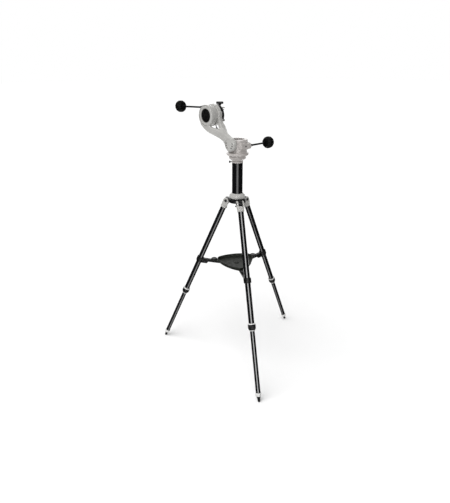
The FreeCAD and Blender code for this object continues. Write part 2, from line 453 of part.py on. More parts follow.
# ------------------------------------------------------ worms, rods and knobs
def control(pitch_r, mod, turns):
    """Worm with journals, along local Z with its crest at z = 0 on local +X."""
    thread, rr, h = worm_thread(pitch_r, mod, turns)
    core = rev([(0, -22.0), (4.0, -22.0), (4.0, -h / 2 - 1.5), (rr, -h / 2 - 1.5), (rr, h / 2 + 1.5), (ROD_R, h / 2 + 2.6), (ROD_R, 24.0), (0, 24.0)])
    made = core.fuse(thread)
    if len(made.Solids) != 1 or not made.isValid():
        print("worm thread not clean, solids", len(made.Solids), made.isValid())
    return made


def rod(z0, z1):
    return rev([(0, z0), (ROD_R, z0), (ROD_R, z1), (0, z1)])


az_place = lambda s: place(s, (0, -AZ_C, AZ_WORM_Z), (1, 0, 0), (0, 1, 0))
save("azimuth_worm", az_place(control(AZ_WORM_R, AZ_MOD, 14)))
az_rod = rod(24.0, AZ_KNOB_X + KNOB_LEN * 0.15)
az_rod = az_rod.fuse(rev([(0, 40.0), (6.2, 40.0), (6.2, 52.0), (5.4, 53.0), (0, 53.0)])).removeSplitter()
save("azimuth_control_rod", az_place(az_rod))
kn = knob()
kn.translate(V(0, 0, AZ_KNOB_X))
save("azimuth_control_knob", az_place(kn))

tilt = math.radians(ALT_ROD_TILT)
alt_d = (0, math.cos(tilt), math.sin(tilt))
alt_o = (ALT_WORM_X, ALT_Y - ALT_C * math.sin(tilt), ALT_Z + ALT_C * math.cos(tilt))
alt_in = (0, math.sin(tilt), -math.cos(tilt))
alt_place = lambda s: place(s, alt_o, alt_d, alt_in)
save("altitude_worm", alt_place(control(ALT_WORM_R, ALT_MOD, 12)))
ALT_FACE = 43.0                                  # outer face of the rod boss, from the worm centre
knob_at = ALT_KNOB_Y - ALT_Y
alt_rod = rod(24.0, knob_at + KNOB_LEN * 0.15)
alt_rod = alt_rod.fuse(rev([(0, ALT_FACE + 1.8), (6.2, ALT_FACE + 1.8), (6.2, ALT_FACE + 14.0), (5.4, ALT_FACE + 15.0), (0, ALT_FACE + 15.0)])).removeSplitter()
save("altitude_control_rod", alt_place(alt_rod))
kn = knob()
kn.translate(V(0, 0, knob_at))
save("altitude_control_knob", alt_place(kn))

# ------------------------------------------------------------------ fork arm
LY, LZ = ALT_Y, ALT_Z - PIVOT_Z
ARM_L = math.hypot(LY, LZ)
U = V(0, LY / ARM_L, LZ / ARM_L)                 # along the arm
N = V(0, -LZ / ARM_L, LY / ARM_L)                # across the arm, upwards


def section(l, x0, x1, n0, n1, r):
    """Rounded rectangle across the arm at distance l from the pivot."""
    o = V(0, 0, PIVOT_Z) + U * l
    P = lambda x, n: V(x, 0, 0) + o + N * n
    e = []
    k = r * (1 - math.sqrt(0.5))
    corners = [(x1, n0, -1, 1), (x1, n1, -1, -1), (x0, n1, 1, -1), (x0, n0, 1, 1)]
    pts = []
    for i, (cx, cn, sx, sn) in enumerate(corners):
        a = (cx + sx * r, cn) if i % 2 == 0 else (cx, cn + sn * r)
        m = (cx + sx * k, cn + sn * k)
        b = (cx, cn + sn * r) if i % 2 == 0 else (cx + sx * r, cn)
        pts.append((a, m, b))
    for i in range(4):
        a, m, b = pts[i]
        e.append(Part.Arc(P(*a), P(*m), P(*b)).toShape())
        nx = pts[(i + 1) % 4][0]
        e.append(Part.makeLine(P(*b), P(*nx)))
    return Part.Wire(e)


left = Part.makeLoft([section(4, LOBE_X0, LOBE_X1, -26, 26, 5), section(40, -53, -32, -25.5, 27.5, 6), section(72, -56.5, -29, -27, 26, 7), section(98, -60, -40, -36, 4, 7),
                      section(122, -61.6, -45, -45, -10, 7), section(150, -62, -46.5, -51, -18, 6), section(172, -62, -46.5, -50, -24, 6)], True, False)
right = Part.makeLoft([section(8, -50, LOBE_X1, -22, 26, 5), section(44, -48, -28, -18, 27.5, 6), section(74, -46, -18, -18, 27, 7), section(98, -36, -9, -8, 25, 7),
                       section(120, -29, -5.6, -4, 23.5, 6), section(142, -26, -5, -4, 27, 5), section(158, -25.5, -5, -2, 32, 5)], True, False)
lobe = rev([(0, -LOBE_X1), (LOBE_R, -LOBE_X1), (LOBE_R, -LOBE_X0 - 3.0), (LOBE_R - 1.0, -LOBE_X0 - 0.8), (LOBE_R - 3.0, -LOBE_X0), (0, -LOBE_X0)], (0, 0, PIVOT_Z), (-1, 0, 0))
lring = rev([(0, -LRING_X1), (LRING_R, -LRING_X1), (LRING_R, -LRING_X0 - 3.6), (LRING_R - 1.3, -LRING_X0 - 1.0), (LRING_R - 3.6, -LRING_X0), (0, -LRING_X0)], (0, ALT_Y, ALT_Z), (-1, 0, 0))
rring = rev([(0, -RRING_X1), (RRING_R - 1.2, -RRING_X1), (RRING_R, -RRING_X1 + 1.2), (RRING_R, -RRING_X0 - 1.2), (RRING_R - 1.2, -RRING_X0), (0, -RRING_X0)], (0, ALT_Y, ALT_Z), (-1, 0, 0))
arm = left.fuse([right, lobe, lring, rring]).removeSplitter()
arm = arm.cut(cyl((LOBE_X1, 0, PIVOT_Z), (1, 0, 0), 49.5, 60))
arm = arm.cut(cyl((-80, ALT_Y, ALT_Z), (1, 0, 0), BARREL_R, 90))
arm = arm.cut(cyl((-60, 0, PIVOT_Z), (1, 0, 0), PIVOT_BOSS_R + RUN, 40))
arm = arm.cut(cyl((-60, 0, PIVOT_Z), (1, 0, 0), 24.8, 10.75))
# altitude lock screw, 22 degrees off straight down, through the right-hand ring
AL_X, AL_ANG = -15.0, math.radians(22.0)
al_d = (0, -math.sin(AL_ANG), -math.cos(AL_ANG))
al_tool = cyl((AL_X, ALT_Y, ALT_Z), al_d, 2.05, 60)
arm = arm.cut(al_tool)
if len(arm.Solids) > 1:
    print("arm solids", [round(s.Volume) for s in arm.Solids])
    arm = max(arm.Solids, key=lambda s: s.Volume)
save("fork_arm", arm)

# ----------------------------------------------------------- altitude barrel
BX0, BX1 = -60.6, -5.0
barrel = rev([(0, -BX1), (BARREL_R, -BX1), (BARREL_R, -BX0 - 1.6), (BARREL_R - 1.6, -BX0), (0, -BX0)], (0, ALT_Y, ALT_Z), (-1, 0, 0))
rodboss = alt_place(rev([(0, 10.0), (9.9, 10.0), (9.9, ALT_FACE - 1.4), (8.8, ALT_FACE), (0, ALT_FACE)]))
barrel = barrel.fuse(rodboss).removeSplitter()
barrel = barrel.cut(rev([(0, 5.0), (SHAFT_R + RUN, 5.0), (SHAFT_R + RUN, 13.0), (ALT_C - ALT_WORM_R + 1.6, 16.0), (ALT_C - ALT_WORM_R + 1.6, 44.0), (SHAFT_TAIL_R + RUN, 44.0), (SHAFT_TAIL_R + RUN, 50.0),
                         (25.0, 50.0), (25.0, 58.4), (29.6, 58.4), (29.6, 61.0), (0, 61.0)], (0, ALT_Y, ALT_Z), (-1, 0, 0)))
barrel = barrel.cut(alt_place(rev([(0, -18.5), (7.3, -18.5), (7.3, 25.0), (0, 25.0)])))
barrel = barrel.cut(alt_place(rev([(0, -22.6), (4.05, -22.6), (4.05, -18.0), (0, -18.0)])))
barrel = barrel.cut(alt_place(rev([(0, 24.0), (7.3, 24.0), (7.3, 60.0), (0, 60.0)])))
barrel = barrel.cut(al_tool)
save("altitude_housing", barrel)
alt_bush = alt_place(rev([(ROD_R + RUN, 25.0), (7.3, 25.0), (7.3, ALT_FACE), (8.4, ALT_FACE), (8.4, ALT_FACE + 1.4), (ROD_R + RUN, ALT_FACE + 1.4)]))
save("altitude_worm_bush", alt_bush)
cap = rev([(0, 58.4), (29.5, 58.4), (29.5, 60.2), (28.9, 60.9), (0, 61.3)], (0, ALT_Y, ALT_Z), (-1, 0, 0))
save("altitude_end_cap", cap)
al = cyl((AL_X, ALT_Y + al_d[1] * 18, ALT_Z + al_d[2] * 18), al_d, 2.0, 41.0)
al = al.fuse(cyl((AL_X, ALT_Y + al_d[1] * 57.5, ALT_Z + al_d[2] * 57.5), al_d, 5.3, 5.6)).removeSplitter()
save("altitude_lock_screw", al)

# ------------------------------------------------- altitude shaft and saddle
shaft = rev([(0, 53.8), (SHAFT_TAIL_R, 53.8), (SHAFT_TAIL_R, 38.6), (10.0, 38.6), (10.0, 33.4), (SHAFT_R, 33.4), (SHAFT_R, 4.6), (0, 4.6)], (0, ALT_Y, ALT_Z), (-1, 0, 0))
save("altitude_shaft", shaft)
alt_wheel = gear(ALT_TEETH, ALT_MOD, 5.0, 10.0, 0.0)
alt_wheel = place(alt_wheel, (ALT_WORM_X, ALT_Y, ALT_Z), (1, 0, 0), (0, -math.sin(tilt), math.cos(tilt)))
save("altitude_worm_wheel", alt_wheel)
retainer = rev([(SHAFT_TAIL_R, 50.2), (20.0, 50.2), (20.0, 53.6), (SHAFT_TAIL_R, 53.6)], (0, ALT_Y, ALT_Z), (-1, 0, 0))
save("altitude_retaining_ring", retainer)
disc = rev([(0, DISC_X0), (DISC_R - 1.0, DISC_X0), (DISC_R, DISC_X0 + 1.0), (DISC_R, DISC_X1 - 1.4), (DISC_R - 1.4, DISC_X1), (0, DISC_X1)], (0, ALT_Y, ALT_Z), (1, 0, 0))
for sy in (-1, 1):
    for sz in (-1, 1):
        disc = disc.cut(cyl((4.0, ALT_Y + sy * 20, ALT_Z + sz * 14), (1, 0, 0), 2.0, 20))
save("altitude_disc", disc)
sa = [(ALT_Z + SAD_BOTTOM, 0), (ALT_Z + SAD_TOP, 0)]
saddle = box(SAD_X0, ALT_Y - SAD_HALF_L, ALT_Z + SAD_BOTTOM, SAD_X1, ALT_Y + SAD_HALF_L, ALT_Z + SAD_TOP)
saddle = round_edges(saddle, 5.0, lambda e: abs(e.BoundBox.XLength - (SAD_X1 - SAD_X0)) < 0.01)
T15 = math.tan(math.radians(15.0))
slot = poly_prism([(SAD_FLOOR_X, ALT_Z + SLOT_LOW), (SAD_X1 + 1, ALT_Z + SLOT_LOW + (SAD_X1 + 1 - SAD_FLOOR_X) * T15), (SAD_X1 + 1, ALT_Z + SLOT_HIGH), (SAD_FLOOR_X, ALT_Z + SLOT_HIGH)], "y", ALT_Y - 40, ALT_Y + 40)
saddle = saddle.cut(slot)
# raised land that the bar's back rests on
saddle = saddle.fuse(box(SAD_FLOOR_X - 1.0, ALT_Y - SAD_HALF_L, ALT_Z - SAD_LAND_HALF, SAD_LAND_X, ALT_Y + SAD_HALF_L, ALT_Z + SAD_LAND_HALF)).removeSplitter()
TK_X = 26.0
saddle = saddle.cut(cyl((TK_X, ALT_Y, ALT_Z + SLOT_HIGH - 1), (0, 0, 1), 3.05, 20))
for sy in (-1, 1):
    for sz in (-1, 1):
        saddle = saddle.cut(cyl((0, ALT_Y + sy * 20, ALT_Z + sz * 14), (1, 0, 0), 2.0, 30)).cut(cyl((15.5, ALT_Y + sy * 20, ALT_Z + sz * 14), (1, 0, 0), 3.8, 10))
save("dovetail_saddle", saddle)
sad_screws = [cap_screw((15.5, ALT_Y + sy * 20, ALT_Z + sz * 14), (1, 0, 0), 2.0, 10.5, 3.7, 3.8) for sy in (-1, 1) for sz in (-1, 1)]
save("saddle_screws", Part.makeCompound(sad_screws))
# clamp shoe: moves up and down above the bar, with the bar's flank angle
shoe = poly_prism([(SAD_FLOOR_X + 0.4, ALT_Z + 23.2), (SAD_X1 - 0.6, ALT_Z + 23.2 - (SAD_X1 - 1.0 - SAD_FLOOR_X) * T15), (SAD_X1 - 0.6, ALT_Z + 24.6), (SAD_FLOOR_X + 0.4, ALT_Z + 24.6)], "y", ALT_Y - 24, ALT_Y + 24)
save("clamp_shoe", shoe)
TKZ = ALT_Z + 24.6
tk = cyl((TK_X, ALT_Y, TKZ + 0.05), (0, 0, 1), 3.0, 20.0)
tk = tk.fuse(rev([(0, 10.0), (4.0, 10.0), (4.6, 14.0), (7.8, 20.6), (7.8, 22.4), (0, 22.4)], (TK_X, ALT_Y, TKZ), (0, 0, 1)))
tbar = box(-16.5, -5.8, 20.4, 16.5, 5.8, 31.2)
tbar = round_edges(tbar, 5.0, lambda e: e.BoundBox.ZLength > 9 and e.BoundBox.XLength < 0.01)
tbar = round_edges(tbar, 2.2, lambda e: e.BoundBox.ZLength < 0.01)
tbar.rotate(V(0, 0, 0), V(0, 0, 1), -45.0)
tbar.translate(V(TK_X, ALT_Y, TKZ))
tk = tk.fuse(tbar).removeSplitter()
save("clamp_knob", tk)
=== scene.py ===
import bpy
import bmesh
import math

import numpy as np
from mathutils import Matrix, Vector


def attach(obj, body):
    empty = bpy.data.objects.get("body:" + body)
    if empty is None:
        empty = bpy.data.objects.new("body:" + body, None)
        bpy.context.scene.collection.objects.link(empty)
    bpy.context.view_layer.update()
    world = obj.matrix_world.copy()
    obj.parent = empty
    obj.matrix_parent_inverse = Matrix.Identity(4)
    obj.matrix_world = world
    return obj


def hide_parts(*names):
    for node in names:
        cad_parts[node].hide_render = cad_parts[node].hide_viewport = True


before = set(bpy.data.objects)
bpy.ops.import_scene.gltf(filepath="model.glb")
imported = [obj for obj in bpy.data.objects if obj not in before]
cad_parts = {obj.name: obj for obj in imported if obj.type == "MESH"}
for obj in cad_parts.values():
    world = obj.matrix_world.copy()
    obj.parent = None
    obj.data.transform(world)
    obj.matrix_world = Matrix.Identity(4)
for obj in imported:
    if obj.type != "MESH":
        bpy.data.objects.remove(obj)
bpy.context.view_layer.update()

# ------------------------------------------------------------------ sizes, mm
HINGE_R, HINGE_Z, FOOT_R = 51.2, 831.4, 418.4
LEG_AZ = {"front": -120.0, "right": 0.0, "left": 120.0}
UPPER_R, LOWER_R = 13.4, 11.15
CLEVIS_END = 36.8
COLLET_TOP, COLLET_RING, COLLAR_LEN, COLLAR_R = 547.0, 4.6, 26.4, 18.0
FERRULE_TOP, FERRULE_LEN, FERRULE_R = 867.0, 16.0, 13.6
LOWER_TOP = 395.0
TRAY_Z, TRAY_FLOOR_Z, TRAY_RIM_Z = 511.0, 514.0, 528.0
TRAY_MID_R, TRAY_BOTTOM_IN, TRAY_CORNER_R, TRAY_CORNER_HW = 75.3, 4.1, 94.5, 16.0
TRAY_SCREW_R, TRAY_LUG_R, TRAY_LUG_T, TRAY_KNOB_R, TRAY_KNOB_TOP_Z = 117.5, 13.0, 3.2, 15.0, 522.5
BRACKET_Q, BRACKET_LEN, BRACKET_R = 351.0, 24.0, 17.6
ARM_IN, ARM_HW, ARM_Z0, ARM_Z1, BLOCK_IN, BLOCK_Z0 = 80.0, 8.0, 500.0, 513.8, 153.0, 490.0
HUB_Z0, HUB_Z1 = 827.0, 843.0
PIER_R, PIER_Z0, PIER_Z1, PL_Z = 25.0, 848.0, 1010.2, 1012.7
AZ_C, AZ_WORM_Z = 35.0, 1084.0
PIVOT_Z, ALT_Y, ALT_Z, ALT_C = 1093.0, 142.3, 1204.4, 33.0
ALT_WORM_X, TILT = -36.0, math.radians(-1.5)
ALT_FACE, AZ_KNOB_X, ALT_KNOB_Y = 43.0, 163.5, 350.0
ROD_R, KNOB_R, KNOB_LEN = 4.2, 26.4, 39.0


# ------------------------------------------------------------- mesh utilities
def link(name, verts, faces, smooth=True, sharp=None, uvs=None):
    me = bpy.data.meshes.new(name)
    me.from_pydata([tuple(v) for v in (np.asarray(verts, float) * 0.001)], [], faces)
    bm = bmesh.new()
    bm.from_mesh(me)
    bmesh.ops.remove_doubles(bm, verts=bm.verts, dist=1e-7)
    bmesh.ops.recalc_face_normals(bm, faces=bm.faces)
    bm.to_mesh(me)
    bm.free()
    me.polygons.foreach_set("use_smooth", [smooth] * len(me.polygons))
    if sharp is not None:
        me.set_sharp_from_angle(angle=math.radians(sharp))
    me.update()
    ob = bpy.data.objects.new(name, me)
    bpy.context.scene.collection.objects.link(ob)
    return ob


def basis(zdir, xdir=None):
    z = Vector(zdir).normalized()
    if xdir is None:
        xdir = (1, 0, 0) if abs(z.x) < 0.9 else (0, 1, 0)
    x = Vector(xdir)
    x = (x - z * x.dot(z)).normalized()
    y = z.cross(x)
    return np.array([[x.x, y.x, z.x], [x.y, y.y, z.y], [x.z, y.z, z.z]])


def place(verts, origin, zdir, xdir=None):
    return np.asarray(verts, float) @ basis(zdir, xdir).T + np.asarray(origin, float)


def leg_frame(az):
    a = math.radians(az)
    r = np.array([math.cos(a), math.sin(a), 0.0])
    t = np.array([-math.sin(a), math.cos(a), 0.0])
    n = math.hypot(FOOT_R - HINGE_R, HINGE_Z)
    d = r * (FOOT_R - HINGE_R) / n - np.array([0, 0, 1.0]) * HINGE_Z / n
    x = np.cross(t, d)
    return np.stack([x, t, d], axis=1), r * HINGE_R + np.array([0, 0, HINGE_Z]), n


def on_leg(verts, az):
    m, o, _ = leg_frame(az)
    return np.asarray(verts, float) @ m.T + o


def spin(verts, az):
    a = math.radians(az)
    m = np.array([[math.cos(a), -math.sin(a), 0], [math.sin(a), math.cos(a), 0], [0, 0, 1]])
    return np.asarray(verts, float) @ m.T


def rounded(points, steps=4, closed=True):
    """Polygon with its corners turned into arcs; each point is (a, b) or (a, b, radius)."""
    pts = [tuple(p[:2]) for p in points]
    rad = [p[2] if len(p) > 2 else 0.0 for p in points]
    out = []
    n = len(pts)
    for i in range(n):
        p = np.array(pts[i], float)
        if rad[i] <= 0 or (not closed and i in (0, n - 1)):
            out.append(tuple(p))
            continue
        a = np.array(pts[i - 1], float) - p
        b = np.array(pts[(i + 1) % n], float) - p
        la, lb = np.linalg.norm(a), np.linalg.norm(b)
        if la < 1e-9 or lb < 1e-9:
            out.append(tuple(p))
            continue
        a, b = a / la, b / lb
        ang = math.acos(max(-1, min(1, float(a @ b))))
        if ang > math.radians(178):
            out.append(tuple(p))
            continue
        cut = rad[i] / math.tan(ang / 2)
        cut = min(cut, 0.48 * la, 0.48 * lb)
        r = cut * math.tan(ang / 2)
        bis = (a + b) / np.linalg.norm(a + b)
        c = p + bis * (r / math.sin(ang / 2))
        p0, p1 = p + a * cut, p + b * cut
        a0 = math.atan2(p0[1] - c[1], p0[0] - c[0])
        a1 = math.atan2(p1[1] - c[1], p1[0] - c[0])
        da = (a1 - a0 + math.pi) % (2 * math.pi) - math.pi
        k = max(2, int(round(steps * abs(da) / (math.pi / 2))) + 1)
        for j in range(k + 1):
            t = a0 + da * j / k
            out.append((c[0] + r * math.cos(t), c[1] + r * math.sin(t)))
    return out


def lathe(profile, seg=96, steps=4, hexes=()):
    """Closed surface of revolution about local Z of (radius, height[, corner radius]) points."""
    prof = rounded(profile, steps)
    verts, faces, rings = [], [], []
    ang = np.arange(seg) * 2 * math.pi / seg
    for i, (r, h) in enumerate(prof):
        if r < 1e-6:
            rings.append([len(verts)])
            verts.append((0, 0, h))
        else:
            start = len(verts)
            k = 1.0
            for t in ang:
                verts.append((r * k * math.cos(t), r * k * math.sin(t), h))
            rings.append(list(range(start, start + seg)))
    for i in range(len(rings)):
        a, b = rings[i], rings[(i + 1) % len(rings)]
        if len(a) == 1 and len(b) == 1:
            continue
        for j in range(seg):
            k = (j + 1) % seg
            if len(a) == 1:
                faces.append((a[0], b[j], b[k]))
            elif len(b) == 1:
                faces.append((a[j], b[0], a[k]))
            else:
                faces.append((a[j], b[j], b[k], a[k]))
    return np.array(verts), faces


def join(parts):
    verts, faces, n = [], [], 0
    for v, f in parts:
        verts.append(np.asarray(v, float))
        faces += [tuple(i + n for i in q) for q in f]
        n += len(v)
    return np.concatenate(verts), faces


def hex_screw(head_r, head_h, shank=0.0, seg=48, socket=0.55, cone=False):
    """Socket head screw along local Z: underside of the head at z = 0, hexagonal socket in the top."""
    ang = np.arange(seg) * 2 * math.pi / seg
    hexr = lambda R: R * math.cos(math.pi / 6) / np.cos((ang % (math.pi / 3)) - math.pi / 6)
    e = min(0.18 * head_r, 0.35 * head_h)
    hs = head_r * socket
    depth = head_h * 0.62
    rings = []
    if shank > 0:
        sr = head_r * 0.52
        rings += [(sr * 0.0, -shank), (np.full(seg, sr * 0.9), -shank), (np.full(seg, sr), -shank + sr * 0.2), (np.full(seg, sr), 0.0)]
    else:
        rings += [(0.0, 0.0)]
    rings += [(np.full(seg, head_r - e * 0.3), 0.0), (np.full(seg, head_r), e * 0.3)]
    for k in range(5):
        t = k / 4 * math.pi / 2
        rings.append((np.full(seg, head_r - e * (1 - math.cos(t))), head_h - e + e * math.sin(t)))
    rings += [(hexr(hs * 1.10), head_h), (hexr(hs), head_h - 0.12 * hs), (hexr(hs), head_h - depth), (0.0, head_h - depth - 0.15 * hs)]
    verts, faces, idx = [], [], []
    for r, h in rings:
        if np.isscalar(r):
            idx.append([len(verts)])
            verts.append((0, 0, h))
        else:
            s = len(verts)
            for t, rr in zip(ang, r):
                verts.append((rr * math.cos(t), rr * math.sin(t), h))
            idx.append(list(range(s, s + seg)))
    for i in range(len(idx) - 1):
        a, b = idx[i], idx[i + 1]
        if len(a) == 1 and len(b) == 1:
            continue
        for j in range(seg):
            k = (j + 1) % seg
            if len(a) == 1:
                faces.append((a[0], b[j], b[k]))
            elif len(b) == 1:
                faces.append((a[j], b[0], a[k]))
            else:
                faces.append((a[j], b[j], b[k], a[k]))
    return np.array(verts), faces


# ------------------------------------------------- implicit shapes, sculpting
def smin(a, b, k):
    h = np.maximum(k - np.abs(a - b), 0.0) / k
    return np.minimum(a, b) - h * h * k * 0.25


def smax(a, b, k):
    return -smin(-a, -b, k)


def rmax(a, b, r):
    """Intersection of two fields with a true round edge of radius r."""
    x, y = a + r, b + r
    return np.minimum(np.maximum(x, y), 0.0) + np.sqrt(np.maximum(x, 0.0) ** 2 + np.maximum(y, 0.0) ** 2) - r


def f_box(X, Y, Z, lo, hi, r):
    c = [(a + b) / 2 for a, b in zip(lo, hi)]
    h = [(b - a) / 2 for a, b in zip(lo, hi)]
    qx, qy, qz = np.abs(X - c[0]) - h[0] + r, np.abs(Y - c[1]) - h[1] + r, np.abs(Z - c[2]) - h[2] + r
    return np.sqrt(np.maximum(qx, 0) ** 2 + np.maximum(qy, 0) ** 2 + np.maximum(qz, 0) ** 2) + np.minimum(np.maximum(np.maximum(qx, qy), qz), 0) - r


def f_cyl(rho, w, w0, w1, R, r):
    return rmax(rho - R, np.abs(w - (w0 + w1) / 2) - (w1 - w0) / 2, r)


class Poly:
    """Signed distance to a closed polygon, from a table."""

    def __init__(self, pts, res=0.5, margin=14.0, steps=3):
        p = np.array(rounded(pts, steps), float)
        lo, hi = p.min(0) - margin, p.max(0) + margin
        self.lo, self.res = lo, res
        nx, ny = [int(math.ceil((hi[i] - lo[i]) / res)) + 2 for i in (0, 1)]
        A = (lo[0] + np.arange(nx) * res)[:, None]
        B = (lo[1] + np.arange(ny) * res)[None, :]
        best = np.full((nx, ny), 1e9)
        inside = np.zeros((nx, ny), bool)
        for i in range(len(p)):
            a, b = p[i - 1], p[i]
            e = b - a
            L = float(e @ e)
            if L < 1e-12:
                continue
            t = np.clip(((A - a[0]) * e[0] + (B - a[1]) * e[1]) / L, 0, 1)
            dx, dy = A - a[0] - t * e[0], B - a[1] - t * e[1]
            best = np.minimum(best, dx * dx + dy * dy)
            cond = (a[1] > B) != (b[1] > B)
            with np.errstate(divide="ignore", invalid="ignore"):
                xc = (b[0] - a[0]) * (B - a[1]) / (b[1] - a[1] if b[1] != a[1] else 1e-12) + a[0]
            inside ^= cond & (A < xc)
        d = np.sqrt(best)
        self.t = np.where(inside, -d, d)
        self.n = (nx, ny)

    def __call__(self, a, b):
        u = (a - self.lo[0]) / self.res
        v = (b - self.lo[1]) / self.res
        uc, vc = np.clip(u, 0, self.n[0] - 1.001), np.clip(v, 0, self.n[1] - 1.001)
        i, j = uc.astype(int), vc.astype(int)
        fu, fv = uc - i, vc - j
        i, j, fu, fv = np.broadcast_arrays(i, j, fu, fv)
        t = self.t
        d = t[i, j] * (1 - fu) * (1 - fv) + t[i + 1, j] * fu * (1 - fv) + t[i, j + 1] * (1 - fu) * fv + t[i + 1, j + 1] * fu * fv
        return d + (np.abs(u - uc) + np.abs(v - vc)) * self.res


def sculpt(field, lo, hi, h, steps=3):
    """Mesh of field(X, Y, Z) < 0 by surface nets, then drawn onto the true surface."""
    lo, hi = np.array(lo, float), np.array(hi, float)
    n = np.ceil((hi - lo) / h).astype(int) + 1
    ax = [lo[i] + np.arange(n[i]) * h for i in range(3)]
    F = np.broadcast_to(field(ax[0][:, None, None], ax[1][None, :, None], ax[2][None, None, :]), tuple(n)).astype(np.float32)
    S = F < 0
    nx, ny, nz = n
    acc = np.zeros((nx - 1, ny - 1, nz - 1), np.int8)
    for dx in (0, 1):
        for dy in (0, 1):
            for dz in (0, 1):
                acc += S[dx:nx - 1 + dx, dy:ny - 1 + dy, dz:nz - 1 + dz]
    act = (acc > 0) & (acc < 8)
    ci = np.argwhere(act)
    idx = -np.ones(act.shape, np.int64)
    idx[act] = np.arange(len(ci))
    P = np.zeros((len(ci), 3))
    C = np.zeros(len(ci))
    corner = [(x, y, z) for x in (0, 1) for y in (0, 1) for z in (0, 1)]
    for a in corner:
        for k in range(3):
            if a[k] == 1:
                continue
            b = list(a)
            b[k] = 1
            fa = F[ci[:, 0] + a[0], ci[:, 1] + a[1], ci[:, 2] + a[2]]
            fb = F[ci[:, 0] + b[0], ci[:, 1] + b[1], ci[:, 2] + b[2]]
            m = (fa < 0) != (fb < 0)
            t = np.where(m, fa / np.where(m, fa - fb, 1), 0)
            q = np.array(a, float)[None, :] + np.zeros((len(ci), 3))
            q[:, k] += t
            P += q * m[:, None]
            C += m
    P = (P / C[:, None] + ci) * h + lo
    e = h * 0.08
    for _ in range(steps):
        x, y, z = P[:, 0], P[:, 1], P[:, 2]
        d = field(x, y, z)
        g = np.stack([field(x + e, y, z) - field(x - e, y, z), field(x, y + e, z) - field(x, y - e, z), field(x, y, z + e) - field(x, y, z - e)], 1) / (2 * e)
        L = np.maximum((g * g).sum(1), 0.25)
        mv = np.clip(d / L, -0.5 * h, 0.5 * h)
        P = P - g * (mv * 0.9)[:, None]
    quads = []
    sx = S[:-1] != S[1:]
    for k, (ua, ub) in enumerate(((1, 2), (2, 0), (0, 1))):
        sl_a = [slice(None)] * 3
        sl_b = [slice(None)] * 3
        sl_a[k], sl_b[k] = slice(0, -1), slice(1, None)
        A, B = S[tuple(sl_a)], S[tuple(sl_b)]
        cr = np.argwhere(A != B)
        ok = (cr[:, ua] > 0) & (cr[:, ub] > 0) & (cr[:, ua] < n[ua] - 1) & (cr[:, ub] < n[ub] - 1)
        cr = cr[ok]
        flip = A[cr[:, 0], cr[:, 1], cr[:, 2]]
        o = []
        for da, db in ((-1, -1), (0, -1), (0, 0), (-1, 0)):
            c = cr.copy()
            c[:, ua] += da
            c[:, ub] += db
            o.append(idx[c[:, 0], c[:, 1], c[:, 2]])
        q = np.stack(o, 1)
        q[~flip] = q[~flip][:, ::-1]
        quads.append(q)
    q = np.concatenate(quads)
    return P, [tuple(int(i) for i in r) for r in q]


# ------------------------------------------------------------------ materials
def nt(mat):
    mat.use_nodes = True
    t = mat.node_tree
    t.nodes.clear()
    out = t.nodes.new("ShaderNodeOutputMaterial")
    b = t.nodes.new("ShaderNodeBsdfPrincipled")
    t.links.new(b.outputs[0], out.inputs[0])
    return t, b


def noise(t, vec, scale, detail=4.0, rough=0.55, dist=0.0):
    n = t.nodes.new("ShaderNodeTexNoise")
    n.inputs["Scale"].default_value = scale
    n.inputs["Detail"].default_value = detail
    n.inputs["Roughness"].default_value = rough
    n.inputs["Distortion"].default_value = dist
    t.links.new(vec, n.inputs["Vector"])
    return n.outputs["Fac"]


def ramp(t, fac, stops):
    n = t.nodes.new("ShaderNodeValToRGB")
    n.color_ramp.elements[0].position = stops[0][0]
    n.color_ramp.elements[0].color = (*stops[0][1], 1)
    n.color_ramp.elements[1].position = stops[-1][0]
    n.color_ramp.elements[1].color = (*stops[-1][1], 1)
    for p, c in stops[1:-1]:
        e = n.color_ramp.elements.new(p)
        e.color = (*c, 1)
    t.links.new(fac, n.inputs[0])
    return n.outputs[0]


def maprange(t, v, a, b, c, d):
    n = t.nodes.new("ShaderNodeMapRange")
    n.inputs[1].default_value, n.inputs[2].default_value, n.inputs[3].default_value, n.inputs[4].default_value = a, b, c, d
    t.links.new(v, n.inputs[0])
    return n.outputs[0]


def mix(t, fac, a, b, mode="MIX"):
    n = t.nodes.new("ShaderNodeMix")
    n.data_type = "RGBA"
    n.blend_type = mode
    n.clamp_factor = True
    for s, v in ((n.inputs[0], fac), (n.inputs[6], a), (n.inputs[7], b)):
        if isinstance(v, (float, int)):
            s.default_value = v
        elif isinstance(v, tuple):
            s.default_value = (*v, 1)
        else:
            t.links.new(v, s)
    return n.outputs[2]


def math_(t, op, a, b=None):
    n = t.nodes.new("ShaderNodeMath")
    n.operation = op
    for s, v in ((n.inputs[0], a), (n.inputs[1], b)):
        if v is None:
            continue
        if isinstance(v, (float, int)):
            s.default_value = v
        else:
            t.links.new(v, s)
    return n.outputs[0]


def bump(t, b, layers):
    prev = None
    for h, strength, dist in layers:
        n = t.nodes.new("ShaderNodeBump")
        n.inputs["Strength"].default_value = strength
        n.inputs["Distance"].default_value = dist
        t.links.new(h, n.inputs["Height"])
        if prev is not None:
            t.links.new(prev, n.inputs["Normal"])
        prev = n.outputs[0]
    t.links.new(prev, b.inputs["Normal"])


def coords(t, scale=(1, 1, 1), rot=(0, 0, 0)):
    c = t.nodes.new("ShaderNodeTexCoord")
    m = t.nodes.new("ShaderNodeMapping")
    m.inputs["Scale"].default_value = scale
    m.inputs["Rotation"].default_value = rot
    t.links.new(c.outputs["Object"], m.inputs["Vector"])
    return m.outputs[0]


# Ambient-occlusion factor; the materials use it to paint shade into crevices and recesses.
def crevice(t, dist=0.006):
    n = t.nodes.new("ShaderNodeAmbientOcclusion")
    n.inputs["Distance"].default_value = dist
    n.samples = 8
    n.only_local = True
    return n.outputs["AO"]


